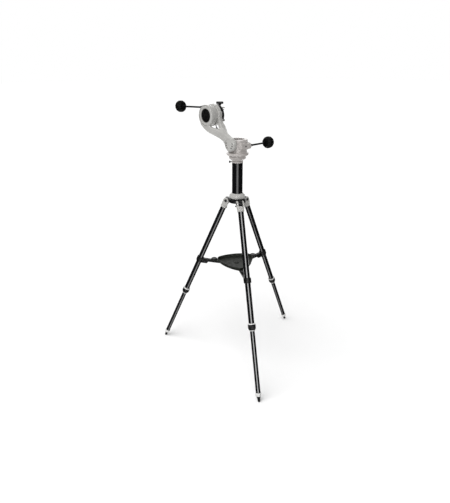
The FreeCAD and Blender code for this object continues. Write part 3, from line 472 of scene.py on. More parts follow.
def wear(t, lo=0.53, hi=0.62):
    g = t.nodes.new("ShaderNodeNewGeometry")
    return maprange(t, g.outputs["Pointiness"], lo, hi, 0.0, 1.0)


def painted(name, col, dark, light, rough=0.36, grain=2600.0, grain_s=0.10, peel=520.0, peel_s=0.10, metallic=0.0, coat=0.0, spec=0.5, edge=0.25, crevice_shade=0.35, rvar=0.10):
    m = bpy.data.materials.new(name)
    t, b = nt(m)
    v = coords(t)
    big = noise(t, v, 14.0, 5.0, 0.6)
    mid = noise(t, v, 120.0, 4.0, 0.6)
    c = ramp(t, big, [(0.30, dark), (0.52, col), (0.75, light)])
    c = mix(t, maprange(t, mid, 0.45, 0.75, 0.0, 0.18), c, dark)
    specks = noise(t, v, 1500.0, 1.0, 0.4)
    c = mix(t, maprange(t, specks, 0.68, 0.74, 0.0, 0.22), c, tuple(x * 0.55 for x in col))
    # Painted shade: ambient occlusion darkens the colour in crevices, recesses and gaps between parts.
    ao = crevice(t)
    c = mix(t, maprange(t, ao, 0.25, 0.95, crevice_shade, 0.0), c, tuple(x * 0.35 for x in dark))
    c = mix(t, math_(t, "MULTIPLY", wear(t), edge), c, tuple(min(1, x * 1.15 + 0.03) for x in light))
    t.links.new(c, b.inputs["Base Color"])
    r = maprange(t, mid, 0.3, 0.7, rough - rvar, rough + rvar)
    t.links.new(r, b.inputs["Roughness"])
    b.inputs["Metallic"].default_value = metallic
    b.inputs["Specular IOR Level"].default_value = spec
    if coat:
        b.inputs["Coat Weight"].default_value = coat
        b.inputs["Coat Roughness"].default_value = 0.12
    bump(t, b, [(noise(t, v, peel, 2.0, 0.5), peel_s, 0.0004), (noise(t, v, grain, 2.0, 0.6), grain_s, 0.00012)])
    return m


def tube_black(name, direction, col=(0.0035, 0.0035, 0.004), rough=0.17, spec=0.5):
    """Gloss black tube: fine drawn lines along the tube and a few scuffs."""
    m = bpy.data.materials.new(name)
    t, b = nt(m)
    z = Vector(direction).normalized()
    q = z.to_track_quat("Z", "Y").inverted().to_euler()
    v = coords(t, (1, 1, 1), q)
    s = t.nodes.new("ShaderNodeMapping")
    s.inputs["Scale"].default_value = (1.0, 1.0, 0.02)
    t.links.new(v, s.inputs["Vector"])
    lines = noise(t, s.outputs[0], 900.0, 3.0, 0.6)
    big = noise(t, v, 18.0, 4.0, 0.6)
    c = ramp(t, big, [(0.3, tuple(x * 0.8 for x in col)), (0.7, tuple(x * 1.5 for x in col))])
    s2 = t.nodes.new("ShaderNodeMapping")
    s2.inputs["Scale"].default_value = (1.0, 1.0, 0.06)
    t.links.new(v, s2.inputs["Vector"])
    scuff = noise(t, s2.outputs[0], 260.0, 5.0, 0.7, 0.4)
    c = mix(t, maprange(t, scuff, 0.70, 0.80, 0.0, 0.25), c, (0.02, 0.02, 0.022))
    t.links.new(c, b.inputs["Base Color"])
    r = maprange(t, lines, 0.3, 0.7, rough - 0.04, rough + 0.06)
    t.links.new(r, b.inputs["Roughness"])
    b.inputs["Specular IOR Level"].default_value = spec
    bump(t, b, [(lines, 0.06, 0.0001), (noise(t, v, 420.0, 2.0), 0.02, 0.0004)])
    return m


def moulded(name, col, rough=0.45, grain=900.0, grain_s=0.25, edge=0.15, lift=1.8, spec=0.3):
    m = bpy.data.materials.new(name)
    t, b = nt(m)
    v = coords(t)
    big = noise(t, v, 30.0, 4.0, 0.6)
    c = ramp(t, big, [(0.3, tuple(x * 0.75 for x in col)), (0.7, tuple(min(1, x * 1.25) for x in col))])
    # Painted shade: ambient occlusion darkens the colour in crevices and recesses.
    c = mix(t, maprange(t, crevice(t, 0.004), 0.3, 0.95, 0.35, 0.0), c, tuple(x * 0.4 for x in col))
    c = mix(t, math_(t, "MULTIPLY", wear(t), edge), c, tuple(min(1, x * lift + 0.02) for x in col))
    t.links.new(c, b.inputs["Base Color"])
    vor = t.nodes.new("ShaderNodeTexVoronoi")
    vor.inputs["Scale"].default_value = grain
    t.links.new(v, vor.inputs["Vector"])
    r = maprange(t, noise(t, v, 200.0, 4.0), 0.3, 0.7, rough - 0.08, rough + 0.10)
    t.links.new(r, b.inputs["Roughness"])
    b.inputs["Specular IOR Level"].default_value = spec
    bump(t, b, [(vor.outputs["Distance"], grain_s, 0.00015), (noise(t, v, 90.0, 3.0), 0.05, 0.0006)])
    return m


def machined(name, col, rough=0.28, metallic=1.0, axis=(0, 0, 1), rings=1400.0, bump_s=0.12):
    m = bpy.data.materials.new(name)
    t, b = nt(m)
    z = Vector(axis).normalized()
    q = z.to_track_quat("Z", "Y").inverted().to_euler()
    v = coords(t, (1, 1, 1), q)
    s = t.nodes.new("ShaderNodeMapping")
    s.inputs["Scale"].default_value = (0.03, 0.03, 1.0)
    t.links.new(v, s.inputs["Vector"])
    lines = noise(t, s.outputs[0], rings, 4.0, 0.7)
    big = noise(t, v, 60.0, 4.0)
    c = ramp(t, big, [(0.3, tuple(x * 0.8 for x in col)), (0.7, tuple(min(1, x * 1.1) for x in col))])
    # Painted shade: ambient occlusion darkens the colour in crevices and recesses.
    c = mix(t, maprange(t, crevice(t, 0.003), 0.3, 0.95, 0.4, 0.0), c, tuple(x * 0.3 for x in col))
    t.links.new(c, b.inputs["Base Color"])
    b.inputs["Metallic"].default_value = metallic
    t.links.new(maprange(t, lines, 0.3, 0.7, rough - 0.08, rough + 0.14), b.inputs["Roughness"])
    bump(t, b, [(lines, bump_s, 0.0001)])
    return m


M = {}
M["cream"] = painted("cast_paint_cream", (0.445, 0.435, 0.415), (0.40, 0.39, 0.37), (0.48, 0.47, 0.45), coat=0.0, rough=0.40, spec=0.22)
M["warm"] = painted("cast_paint_warm", (0.42, 0.396, 0.382), (0.377, 0.354, 0.34), (0.453, 0.429, 0.415), coat=0.0, rough=0.40, spec=0.22)
M["grey"] = painted("cast_paint_grey", (0.41, 0.405, 0.39), (0.367, 0.362, 0.347), (0.442, 0.437, 0.422), coat=0.0, rough=0.42, grain_s=0.14, spec=0.22)
M["white"] = moulded("moulded_white", (0.62, 0.62, 0.61), rough=0.38, grain=1400.0, grain_s=0.08, lift=1.08, spec=0.3)
M["anod"] = painted("anodised_black", (0.006, 0.006, 0.0065), (0.004, 0.004, 0.0045), (0.010, 0.010, 0.011), rough=0.42, grain=3400.0, grain_s=0.22, peel_s=0.03, edge=0.10, crevice_shade=0.3, spec=0.16)
M["plastic"] = moulded("moulded_black", (0.0045, 0.0045, 0.0045), rough=0.45, spec=0.11)
M["knob"] = moulded("moulded_black_coarse", (0.0032, 0.0032, 0.0032), rough=0.55, grain=420.0, grain_s=0.6, edge=0.08, spec=0.05)
M["rubber"] = moulded("rubber_black", (0.007, 0.007, 0.007), rough=0.75, grain=1100.0, grain_s=0.4, spec=0.12)
M["tray"] = painted("tray_enamel", (0.0155, 0.017, 0.0143), (0.0125, 0.014, 0.0115), (0.0195, 0.021, 0.018), rough=0.55, grain=1500.0, grain_s=0.22, peel=300.0, peel_s=0.12, edge=0.14, crevice_shade=0.3, spec=0.08)
M["dsteel"] = machined("steel_black_oxide", (0.022, 0.022, 0.024), rough=0.40, metallic=0.7)
M["steel"] = machined("steel_turned", (0.60, 0.60, 0.60), axis=(1, 0, 0))
M["brass"] = machined("brass_machined", (0.72, 0.52, 0.22), axis=(0, 0, 1))
for _n, _az in LEG_AZ.items():
    M["leg_" + _n] = tube_black("leg_enamel_" + _n, leg_frame(_az)[0][:, 2])
M["pier"] = tube_black("pier_enamel", (0, 0, 1), rough=0.16, spec=0.3)
M["rod_az"] = tube_black("rod_black_x", (1, 0, 0), rough=0.30, spec=0.12)
M["rod_alt"] = tube_black("rod_black_y", (0, math.cos(TILT), math.sin(TILT)), rough=0.30, spec=0.12)


def piece(name, geo, body, node, mat, sharp=35, weighted=True, smooth=True):
    ob = link(name, geo[0], geo[1], smooth=smooth, sharp=sharp)
    ob.data.materials.append(M[mat])
    if weighted:
        w = ob.modifiers.new("weighted", "WEIGHTED_NORMAL")
        w.keep_sharp = True
        w.weight = 80
    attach(ob, body)
    if node:
        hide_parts(*([node] if isinstance(node, str) else node))
    return ob


def turned(name, prof, origin, zdir, body, node, mat, seg=96, steps=4, sharp=40):
    v, f = lathe(prof, seg, steps)
    return piece(name, (place(v, origin, zdir), f), body, node, mat, sharp=sharp)


def leg_turned(name, prof, az, body, node, mat, seg=72):
    v, f = lathe(prof, seg)
    return piece(name, (on_leg(v, az), f), body, node, mat, sharp=40)


# ------------------------------------------------------------------- tripod
def clevis_field(x, y, z):
    side = smin(np.sqrt(x * x + z * z) - 13.5, np.maximum(np.abs(x) - 13.5, np.abs(z - 18.4) - 18.4), 0.5)
    d = rmax(side, np.abs(y) - 16.5, 3.0)
    rho = np.sqrt(x * x + y * y)
    d = smax(d, rho - np.interp(z, [0, 12, 26, 36.8], [26, 20.2, 17.2, 16.2]), 3.0)
    lip = f_cyl(rho, z, 32.0, 36.8, 16.4, 1.3)
    d = smin(d, lip, 1.5)
    d = smax(d, z - 36.8, 0.8)
    slot = f_box(x, y, z, (-40, -10.0, -40), (40, 10.0, 15.4), 1.6)
    d = smax(d, -slot, 1.2)
    hole = rmax(np.sqrt(x * x + z * z) - 6.7, 15.3 - np.abs(y), 0.2)
    return smax(d, -hole, 0.7)


CLEVIS = sculpt(clevis_field, (-17.5, -18.5, -15.5), (17.5, 18.5, 40.0), 0.62)


def foot_profile(n):
    f1 = FERRULE_TOP + FERRULE_LEN
    end = n - f1 + f1
    return [(0, f1 - 5.0), (6.5, f1 - 5.0), (6.5, f1 + 0.05), (9.4, f1 + 0.05, 0.5), (9.8, f1 + 1.6, 0.6), (9.4, f1 + 3.4, 0.8), (8.6, f1 + 4.0, 0.5), (8.8, f1 + 5.6, 0.6), (8.2, f1 + 7.6, 0.5), (7.4, f1 + 8.2, 0.5),
            (7.2, f1 + 9.6, 0.5), (6.6, f1 + 13.0, 1.0), (5.6, end - 1.6, 1.2), (4.4, end - 0.2, 0.8), (0, end - 0.2)]


for name, az in LEG_AZ.items():
    m, o, n = leg_frame(az)
    body_low = "lower_leg_" + name
    leg = "leg_" + name
    piece("clevis_casting_" + name, (on_leg(CLEVIS[0], az), CLEVIS[1]), "tripod", "clevis_" + name, "grey", sharp=None, weighted=False)
    q0, q1 = CLEVIS_END, COLLET_TOP
    leg_turned("upper_tube_" + name, [(UPPER_R - 1.45, q0 + 0.1), (UPPER_R, q0 + 0.1, 0.3), (UPPER_R, q1 - 0.1, 0.35), (UPPER_R - 1.45, q1 - 0.1)], az, "tripod", "upper_leg_tube_" + name, leg)
    leg_turned("lower_tube_" + name, [(LOWER_R - 1.3, LOWER_TOP), (LOWER_R, LOWER_TOP, 0.3), (LOWER_R, FERRULE_TOP + 1.0), (LOWER_R - 1.3, FERRULE_TOP + 1.0)], az, body_low, "lower_leg_tube_" + name, leg)
    f0 = FERRULE_TOP
    leg_turned("ferrule_" + name, [(LOWER_R + 0.02, f0), (FERRULE_R - 1.0, f0, 0.5), (FERRULE_R, f0 + 1.6, 0.8), (FERRULE_R, f0 + 6.0, 0.6), (FERRULE_R - 0.9, f0 + 7.0, 0.4), (FERRULE_R - 0.9, f0 + 13.4, 0.7), (FERRULE_R - 2.2, f0 + 16.0, 1.0), (6.6, f0 + 16.0), (6.6, f0 + 10.0), (LOWER_R + 0.02, f0 + 9.0)],
               az, body_low, "foot_ferrule_" + name, "white")
    leg_turned("foot_rubber_" + name, foot_profile(n), az, body_low, "foot_tip_" + name, "rubber")
    # twist collar: grip flutes between plain bands
    c1 = COLLET_TOP + COLLET_RING
    c2 = c1 + COLLAR_LEN
    seg, rings = 180, []
    prof = rounded([(14.05, c1 + 0.15), (COLLAR_R - 0.9, c1 + 0.15, 0.6), (COLLAR_R, c1 + 1.4, 0.8), (COLLAR_R, c1 + 2.6), (COLLAR_R, c1 + 4.0), (COLLAR_R, c1 + 8.0), (COLLAR_R, c1 + 12.0), (COLLAR_R, c2 - 9.6), (COLLAR_R, c2 - 8.0, 2.0), (COLLAR_R - 1.3, c2 - 4.5, 2.0), (COLLAR_R - 3.3, c2 - 1.3, 1.0), (14.7, c2 - 0.15, 0.3), (14.05, c2 - 0.15)], 4)
    verts, faces = [], []
    for r, h in prof:
        w = 0.0
        if r > COLLAR_R - 0.01:
            w = max(0.0, min(1.0, (h - (c1 + 2.4)) / 1.6)) * max(0.0, min(1.0, ((c2 - 8.4) - h) / 1.6))
        for j in range(seg):
            t = 2 * math.pi * j / seg
            g = max(0.0, math.cos(18 * t)) ** 1.5
            rr = r - 0.85 * g * w
            verts.append((rr * math.cos(t), rr * math.sin(t), h))
    k = len(prof)
    for i in range(k):
        for j in range(seg):
            a, b = i * seg + j, i * seg + (j + 1) % seg
            c, d = ((i + 1) % k) * seg + (j + 1) % seg, ((i + 1) % k) * seg + j
            faces.append((a, b, c, d))
    piece("twist_grip_" + name, (on_leg(verts, az), faces), "twist_collar_" + name, "twist_collar_" + name, "plastic")

# collets: one piece for the node's three solids
c0 = COLLET_TOP
c1 = c0 + COLLET_RING
c2 = c1 + COLLAR_LEN
c3 = c2 + COLLET_RING
prof = [(LOWER_R + 0.09, c0), (16.2, c0, 0.6), (17.4, c0 + 1.4, 0.8), (17.4, c1, 0.5), (14.0, c1), (14.0, c2), (13.6, c2, 0.3), (13.6, c3 - 1.2, 0.7), (12.7, c3, 0.5), (LOWER_R + 0.09, c3)]
v, f = lathe(prof, 72)
piece("collet_rings", join([(on_leg(v, az), f) for az in LEG_AZ.values()]), "tripod", "lock_collets", "white")

# hinge bolts
parts = []
for az in LEG_AZ.values():
    for s in (-1, 1):
        hv, hf = hex_screw(6.1, 2.9, 0.0, 48)
        parts.append((on_leg(place(hv, (0, s * 15.3, 0), (0, s, 0)), az), hf))
    sv, sf = lathe([(0, -15.4), (4.0, -15.4), (4.0, 15.4), (0, 15.4)], 48)
    parts.append((on_leg(place(sv, (0, 0, 0), (0, 1, 0)), az), sf))
piece("hinge_bolts", join(parts), "tripod", "hinge_pins", "dsteel")


# hub casting
def hub_field(x, y, z):
    rho = np.sqrt(x * x + y * y)
    d = f_cyl(rho, z, HUB_Z0, HUB_Z1, 40.0, 1.8)
    for az in LEG_AZ.values():
        a = math.radians(az)
        u = x * math.cos(a) + y * math.sin(a)
        w = -x * math.sin(a) + y * math.cos(a)
        eye = np.sqrt((u - HINGE_R) ** 2 + (z - HINGE_Z) ** 2) - 12.4
        web = np.maximum(np.maximum(24 - u, u - HINGE_R), np.abs(z - HINGE_Z) - 12.0 - 0.0 * u)
        web = np.maximum(web, HUB_Z0 - 8.0 + np.clip((HINGE_R - 6 - u) * 0.45, 0, 8) - z)
        lug = rmax(smin(eye, web, 3.0), np.abs(w) - 9.6, 1.4)
        d = smin(d, lug, 3.0)
    d = np.where(np.abs(z - 835) < 40, d, d)
    for az in LEG_AZ.values():
        a = math.radians(az)
        u = x * math.cos(a) + y * math.sin(a)
        w = -x * math.sin(a) + y * math.cos(a)
        pocket = rmax(np.sqrt((u - HINGE_R) ** 2 + (z - HINGE_Z) ** 2) - 14.5, np.abs(np.abs(w) - 14.2) - 4.3, 0.6)
        d = smax(d, -pocket, 0.8)
    d = smax(d, 15.0 - rho, 0.8)
    groove = np.maximum(np.abs(rho - 26.0) - 5.0, z - (HUB_Z0 + 3.0))
    return smax(d, -groove, 1.0)


piece("hub_casting", sculpt(hub_field, (-68, -68, 815), (68, 68, 848), 0.9), "tripod", "tripod_hub", "anod", sharp=None, weighted=False)

# thumb screw under the hub
ht, ha = math.radians(20.0), math.radians(-170.0)
hd = (math.sin(ht) * math.cos(ha), math.sin(ht) * math.sin(ha), -math.cos(ht))
hp = np.array([-25.8, -22.7, HUB_Z0 + 1.0])
v, f = lathe([(0, -8.0), (2.0, -8.0), (2.0, 11.6), (3.6, 11.6, 0.3), (4.4, 12.4, 0.6), (4.4, 15.9, 0.7), (3.4, 16.8, 0.6), (0, 16.8)], 40)
w = []
for p in v:
    t = math.atan2(p[1], p[0])
    k = 1 - 0.05 * (0.5 + 0.5 * math.cos(10 * t)) if math.hypot(p[0], p[1]) > 4.2 else 1.0
    w.append((p[0] * k, p[1] * k, p[2]))
piece("hub_screw_knob", (place(w, hp, hd), f), "hub_screw", "hub_thumb_screw", "plastic")

# pier
turned("pier_foot_collar", [(25.05, 848.2), (15.2, 848.2), (15.2, 843.05), (28.0, 843.05, 0.6), (33.0, 846.2, 3.0), (36.2, 849.2, 2.0), (36.9, 851.8, 2.0), (36.9, 857.0, 2.0), (35.6, 861.0, 4.0), (31.6, 866.0, 5.0), (27.4, 869.6, 1.2), (26.2, 870.5, 0.5), (25.05, 870.5)],
       (0, 0, 0), (0, 0, 1), "tripod", "pier_base_collar", "grey", 128, 5)
turned("pier_column", [(22.5, PIER_Z0 + 0.3), (25.0, PIER_Z0 + 0.3), (25.0, PIER_Z1 - 0.05, 0.4), (22.5, PIER_Z1 - 0.05)], (0, 0, 0), (0, 0, 1), "tripod", "pier_tube", "pier", 128)
turned("pier_head_casting", [(5.2, 980.0), (22.4, 980.0, 1.0), (22.4, PIER_Z1), (25.0, PIER_Z1), (25.6, PIER_Z1 + 0.6, 0.4), (25.6, 1016.4, 0.5), (23.4, 1017.0, 0.3), (23.4, 1019.0, 0.3), (26.6, 1020.0, 0.8), (32.2, 1025.2, 5.0), (37.0, 1028.5, 1.2), (37.4, 1029.95, 0.5), (5.2, 1029.95)],
       (0, 0, 0), (0, 0, 1), "tripod", "pier_head_adapter", "warm", 128, 5)
pd = (math.cos(math.radians(135)), math.sin(math.radians(135)), 0.0)
v, f = lathe([(0, 23.6), (2.0, 23.6), (2.0, 30.6), (2.6, 31.0, 0.3), (4.2, 31.2, 0.4), (5.0, 32.2, 0.8), (5.0, 36.0, 1.0), (4.2, 37.4, 0.7), (2.0, 38.1, 0.6), (0, 38.2)], 60)
w = []
for p in v:
    t = math.atan2(p[1], p[0])
    k = 1 - 0.05 * (0.5 + 0.5 * math.cos(12 * t)) if math.hypot(p[0], p[1]) > 4.6 else 1.0
    w.append((p[0] * k, p[1] * k, p[2]))
piece("pier_lock_knob", (place(w, (0, 0, PL_Z), pd), f), "pier_screw", "pier_lock_screw", "plastic")


# tray
def arc3(p0, p1, p2, n):
    """Points of the arc from p0 through p1 up to p2, without its last point."""
    (ax, ay), (bx, by), (cx, cy) = p0, p1, p2
    d = 2 * (ax * (by - cy) + bx * (cy - ay) + cx * (ay - by))
    qa, qb, qc = ax * ax + ay * ay, bx * bx + by * by, cx * cx + cy * cy
    ux, uy = (qa * (by - cy) + qb * (cy - ay) + qc * (ay - by)) / d, (qa * (cx - bx) + qb * (ax - cx) + qc * (bx - ax)) / d
    r = math.hypot(ax - ux, ay - uy)
    a0, am, a2 = math.atan2(ay - uy, ax - ux), math.atan2(by - uy, bx - ux), math.atan2(cy - uy, cx - ux)
    da = (a2 - a0) % (2 * math.pi)
    if (am - a0) % (2 * math.pi) > da:
        da -= 2 * math.pi
    return [(ux + r * math.cos(a0 + da * i / n), uy + r * math.sin(a0 + da * i / n)) for i in range(n)]


def tray_points():
    pts = []
    for k in range(3):
        a0, a1 = math.radians(120 * k), math.radians(120 * (k + 1))
        am = (a0 + a1) / 2
        rot = lambda x, y, a: (x * math.cos(a) - y * math.sin(a), x * math.sin(a) + y * math.cos(a))
        p0, p1, p2 = rot(TRAY_CORNER_R, TRAY_CORNER_HW, a0), (TRAY_MID_R * math.cos(am), TRAY_MID_R * math.sin(am)), rot(TRAY_CORNER_R, -TRAY_CORNER_HW, a1)
        pts += arc3(p0, p1, p2, 26) + arc3(p2, rot(TRAY_CORNER_R + 4.0, 0, a1), rot(TRAY_CORNER_R, TRAY_CORNER_HW, a1), 10)
    return pts


TRAY = Poly(tray_points(), 0.8, 50.0)


def tray_field(x, y, z):
    rho = np.sqrt(x * x + y * y)
    p = TRAY(x, y)
    wall = np.clip((z - TRAY_Z) / (TRAY_RIM_Z - TRAY_Z), 0, 1)
    outer = (p + TRAY_BOTTOM_IN * (1 - wall)) * 0.97
    d = rmax(outer, np.abs(z - (TRAY_Z + TRAY_RIM_Z) / 2) - (TRAY_RIM_Z - TRAY_Z) / 2, 1.0)
    bead = np.sqrt((p + 0.9) ** 2 + (z - (TRAY_RIM_Z - 1.5)) ** 2) - 1.5
    d = smin(d, bead, 1.0)
    for az in LEG_AZ.values():
        a = math.radians(az)
        u = x * math.cos(a) + y * math.sin(a)
        w = -x * math.sin(a) + y * math.cos(a)
        flat = np.maximum(np.sqrt(np.maximum(u - TRAY_SCREW_R, 0) ** 2 + w * w) - TRAY_LUG_R, 84.0 - u)
        lug = rmax(flat, np.abs(z - TRAY_Z - TRAY_LUG_T / 2) - TRAY_LUG_T / 2, 0.8)
        d = smin(d, lug, 1.6)
    wi = np.clip((z - TRAY_FLOOR_Z) / (TRAY_RIM_Z - TRAY_FLOOR_Z), 0, 1)
    inner = (p + 2.7 + 5.3 * (1 - wi)) * 0.94
    d = smax(d, -rmax(inner, TRAY_FLOOR_Z - z, 4.0), 1.2)
    d = smin(d, f_cyl(rho, z, TRAY_Z + 1, TRAY_FLOOR_Z + 2.4, 11.0, 0.9), 1.5)
    d = smax(d, -rmax(rho - 4.2, TRAY_FLOOR_Z + 0.7 - z, 0.2), 0.8)
    return smax(d, TRAY_Z + 0.04 - z, 0.5)


piece("tray_dish", sculpt(tray_field, (-112, -114, 509.4), (132, 114, 530), 1.0), "tripod", "accessory_tray", "tray", sharp=None, weighted=False)
lug_top = TRAY_Z + TRAY_LUG_T
v, f = lathe([(0, ARM_Z0 - 2.8), (2.4, ARM_Z0 - 2.8, 0.3), (2.4, lug_top + 0.05), (TRAY_KNOB_R - 0.9, lug_top + 0.05, 0.3), (TRAY_KNOB_R, lug_top + 1.0, 0.5), (TRAY_KNOB_R, TRAY_KNOB_TOP_Z - 2.4, 0.8), (TRAY_KNOB_R - 1.8, TRAY_KNOB_TOP_Z - 0.4, 0.8), (TRAY_KNOB_R - 4.4, TRAY_KNOB_TOP_Z, 0.3), (TRAY_KNOB_R - 5.2, TRAY_KNOB_TOP_Z - 0.7, 0.3), (0, TRAY_KNOB_TOP_Z - 0.7)], 160, 5)
w = []
for p in v:
    t, r = math.atan2(p[1], p[0]), math.hypot(p[0], p[1])
    k = 1 - 0.068 * max(0.0, math.cos(10 * t)) ** 1.3 * max(0.0, min(1.0, (r - 11.4) / 2.0)) if r > 11.4 else 1.0
    w.append((p[0] * k, p[1] * k, p[2]))
w = np.array(w) + np.array([TRAY_SCREW_R, 0, 0])
piece("tray_thumb_knobs", join([(spin(w, az), f) for az in LEG_AZ.values()]), "tripod", "tray_screws", "plastic")


def bracket_field(x, y, z):
    m, o, n = leg_frame(0.0)
    px, py, pz = x - o[0], y - o[1], z - o[2]
    lx = px * m[0, 0] + py * m[1, 0] + pz * m[2, 0]
    ly = px * m[0, 1] + py * m[1, 1] + pz * m[2, 1]
    lz = px * m[0, 2] + py * m[1, 2] + pz * m[2, 2]
    rho = np.sqrt(lx * lx + ly * ly)
    b0, b1 = BRACKET_Q - BRACKET_LEN / 2, BRACKET_Q + BRACKET_LEN / 2
    ring = f_cyl(rho, lz, b0, b1, BRACKET_R, 2.2)
    leg_r = o[0] + (HINGE_Z - (ARM_Z0 + ARM_Z1) / 2) * (FOOT_R - HINGE_R) / HINGE_Z
    arm = f_box(x, y, z, (ARM_IN, -ARM_HW, ARM_Z0), (leg_r - 2.0, ARM_HW, ARM_Z1), 1.6)
    arm = smax(arm, (4.0 - (x - ARM_IN) - (z - ARM_Z0)) * 0.7071, 1.2)
    end = TRAY_SCREW_R + TRAY_LUG_R + 1.0
    arm = smax(arm, z - np.interp(x, [end, end + 4.0], [TRAY_Z - 0.04, ARM_Z1 + 3.0]), 0.4)
    pocket = f_box(x, y, z, (96.0, -4.6, ARM_Z0 - 6.0), (BLOCK_IN - 6.0, 4.6, ARM_Z0 + 6.5), 1.6)
    post = np.maximum(np.sqrt((x - TRAY_SCREW_R) ** 2 + y * y) - 5.6, 0 * z)
    arm = smax(arm, -smax(pocket, -post, 1.0), 0.8)
    block = f_box(x, y, z, (BLOCK_IN, -ARM_HW, BLOCK_Z0), (leg_r + 3.0, ARM_HW, ARM_Z1), 1.6)
    corner = np.sqrt(np.maximum(BLOCK_IN + 4.0 - x, 0) ** 2 + np.maximum(BLOCK_Z0 + 4.0 - z, 0) ** 2) - 4.0
    block = smax(block, corner, 0.8)
    d = smin(smin(ring, arm, 3.0), block, 2.0)
    bolt = np.sqrt((x - 166.0) ** 2 + (z - 501.0) ** 2)
    d = smax(d, -rmax(bolt - 4.4, 6.4 - np.abs(y), 0.1), 0.5)
    return smax(d, -(rho - UPPER_R - 0.02), 0.5)


BR = sculpt(bracket_field, (78, -20, 486), (216, 20, 530), 0.75)
for name, az in LEG_AZ.items():
    piece("tube_clamp_" + name, (spin(BR[0], az), BR[1]), "tripod", "tray_bracket_" + name, "plastic", sharp=None, weighted=False)
hv, hf = hex_screw(3.8, 2.4, 0.0, 36)
piece("clamp_bolts", join([(spin(place(hv, (166.0, sy * 6.5, 501.0), (0, sy, 0)), az), hf) for az in LEG_AZ.values() for sy in (-1, 1)]), "tripod", None, "dsteel")

# -------------------------------------------------------------- azimuth base
turned("azimuth_base_ring", [(5.2, 1030.05), (37.1, 1030.05, 0.3), (38.0, 1031.0, 0.5), (38.0, 1039.3, 0.6), (37.0, 1040.6, 0.5), (33.0, 1040.6), (33.0, 1042.7, 0.3), (14.0, 1042.7), (14.0, AZ_WORM_Z - 2.55), (8.0, AZ_WORM_Z - 2.55), (8.0, 1097.6), (5.2, 1097.6)],
       (0, 0, 0), (0, 0, 1), "tripod", "azimuth_base", "warm", 128)
HOUSING = Poly([(0, 1043.0), (46.0, 1043.0, 1.2), (49.0, 1045.4, 2.2), (49.0, 1051.8, 2.2), (47.2, 1054.0, 1.5), (43.4, 1055.4, 1.6), (41.5, 1058.0, 2.4), (41.5, 1096.2, 1.0), (42.6, 1097.8, 0.8), (44.5, 1099.2, 1.4), (44.5, 1109.4, 2.0), (42.6, 1112.3, 1.8), (41.0, 1112.5), (0, 1112.5)], 0.3, 8.0, 4)
SCREWS = [165.0, 195.0, 228.0, 312.0, 345.0, 15.0]
PIV = [(19.4 * math.cos(math.radians(a)), 19.4 * math.sin(math.radians(a)) + PIVOT_Z) for a in SCREWS]


def housing_field(x, y, z):
    rho = np.sqrt(x * x + y * y)
    d = HOUSING(rho, z)
    d = smax(d, -f_box(x, y, z, (-70, -70, 1055.6), (-33.0, 70, 1130), 0.8), 1.0)
    rp = np.sqrt(y * y + (z - PIVOT_Z) ** 2)
    d = smin(d, f_cyl(rp, x, -50.2, -30.0, 22.4, 0.8), 1.2)
    wb = f_box(x, y, z, (-25.0, -47.2, 1073.5), (30.0, -20.0, 1098.4), 3.2)
    d = smin(d, wb, 3.2)
    rw = np.sqrt((y + AZ_C) ** 2 + (z - AZ_WORM_Z) ** 2)
    d = smin(d, f_cyl(rw, x, 20.0, 36.6, 15.0, 1.4), 2.6)
    d = smin(d, f_cyl(rw, x, 30.0, 38.0, 13.2, 1.0), 0.8)
    pad = f_box(x, y, z, (-18.0, -46.0, 1057.5), (-3.0, -30.0, 1076.0), 2.5)
    # top recess with a stepped floor, and a chamber below
    d = smax(d, -f_cyl(rho, z, 1097.4, 1140.0, 30.0, 0.3), 1.4)
    d = smax(d, -f_cyl(rho, z, 1030.0, 1094.4, 14.1, 0.2), 0.6)
    d = smax(d, -f_cyl(rho, z, 1054.0, 1097.0, 31.0, 0.3), 0.6)
    d = smax(d, -f_cyl(rw, x, 37.0, 60.0, 10.2, 0.2), 0.6)
    d = smax(d, -f_cyl(rw, x, 20.0, 60.0, 7.6, 0.2), 0.6)
    return d


piece("azimuth_case", sculpt(housing_field, (-53, -52, 1041.0), (52, 52, 1115), 0.80), "azimuth_head", "azimuth_housing", "warm", sharp=None, weighted=False)


def cover_plate_field(x, y, z):
    d = f_box(x, y, z, (-22.0, -48.8, 1076.0), (23.0, -46.0, 1096.2), 0.9)
    d = smax(d, -f_box(x, y, z, (-18.5, -60, 1079.2), (-2.5, -48.1, 1093.2), 0.6), 0.5)
    r = np.sqrt((x - 3.1) ** 2 + (z - 1085.4) ** 2)
    return smax(d, -rmax(r - 3.8, y + 47.0, 0.2), 0.4)


piece("worm_cover_plate", sculpt(cover_plate_field, (-23.5, -50, 1074.5), (24.5, -44.5, 1097.8), 0.42), "azimuth_head", "azimuth_worm_cover", "warm", sharp=None, weighted=False)
turned("worm_gland", [(ROD_R + 0.1, 30.0), (10.0, 30.0), (10.0, 38.0), (11.2, 38.0, 0.4), (11.5, 39.0, 0.4), (10.6, 39.6, 0.3), (ROD_R + 0.1, 39.6, 0.3)], (0, -AZ_C, AZ_WORM_Z), (1, 0, 0), "azimuth_head", "azimuth_worm_bush", "anod", 72)
turned("bearing_plate", [(8.1, 1094.45), (30.9, 1094.45), (30.9, 1097.35), (8.1, 1097.35, 0.4)], (0, 0, 0), (0, 0, 1), "azimuth_head", "azimuth_bearing_plate", "dsteel", 96)


def cover_field(x, y, z):
    rp = np.sqrt(y * y + (z - PIVOT_Z) ** 2)
    d = f_cyl(rp, x, -52.9, -49.35, 24.4, 0.8)
    ring = np.maximum(np.abs(rp - 14.6) - 0.35, np.abs(x + 53.0) - 0.5)
    d = smax(d, -ring, 0.3)
    for py, pz in PIV:
        r = np.sqrt((y - py) ** 2 + (z - pz) ** 2)
        d = smax(d, -rmax(r - 3.1, x + 51.4, 0.1), 0.35)
    return d


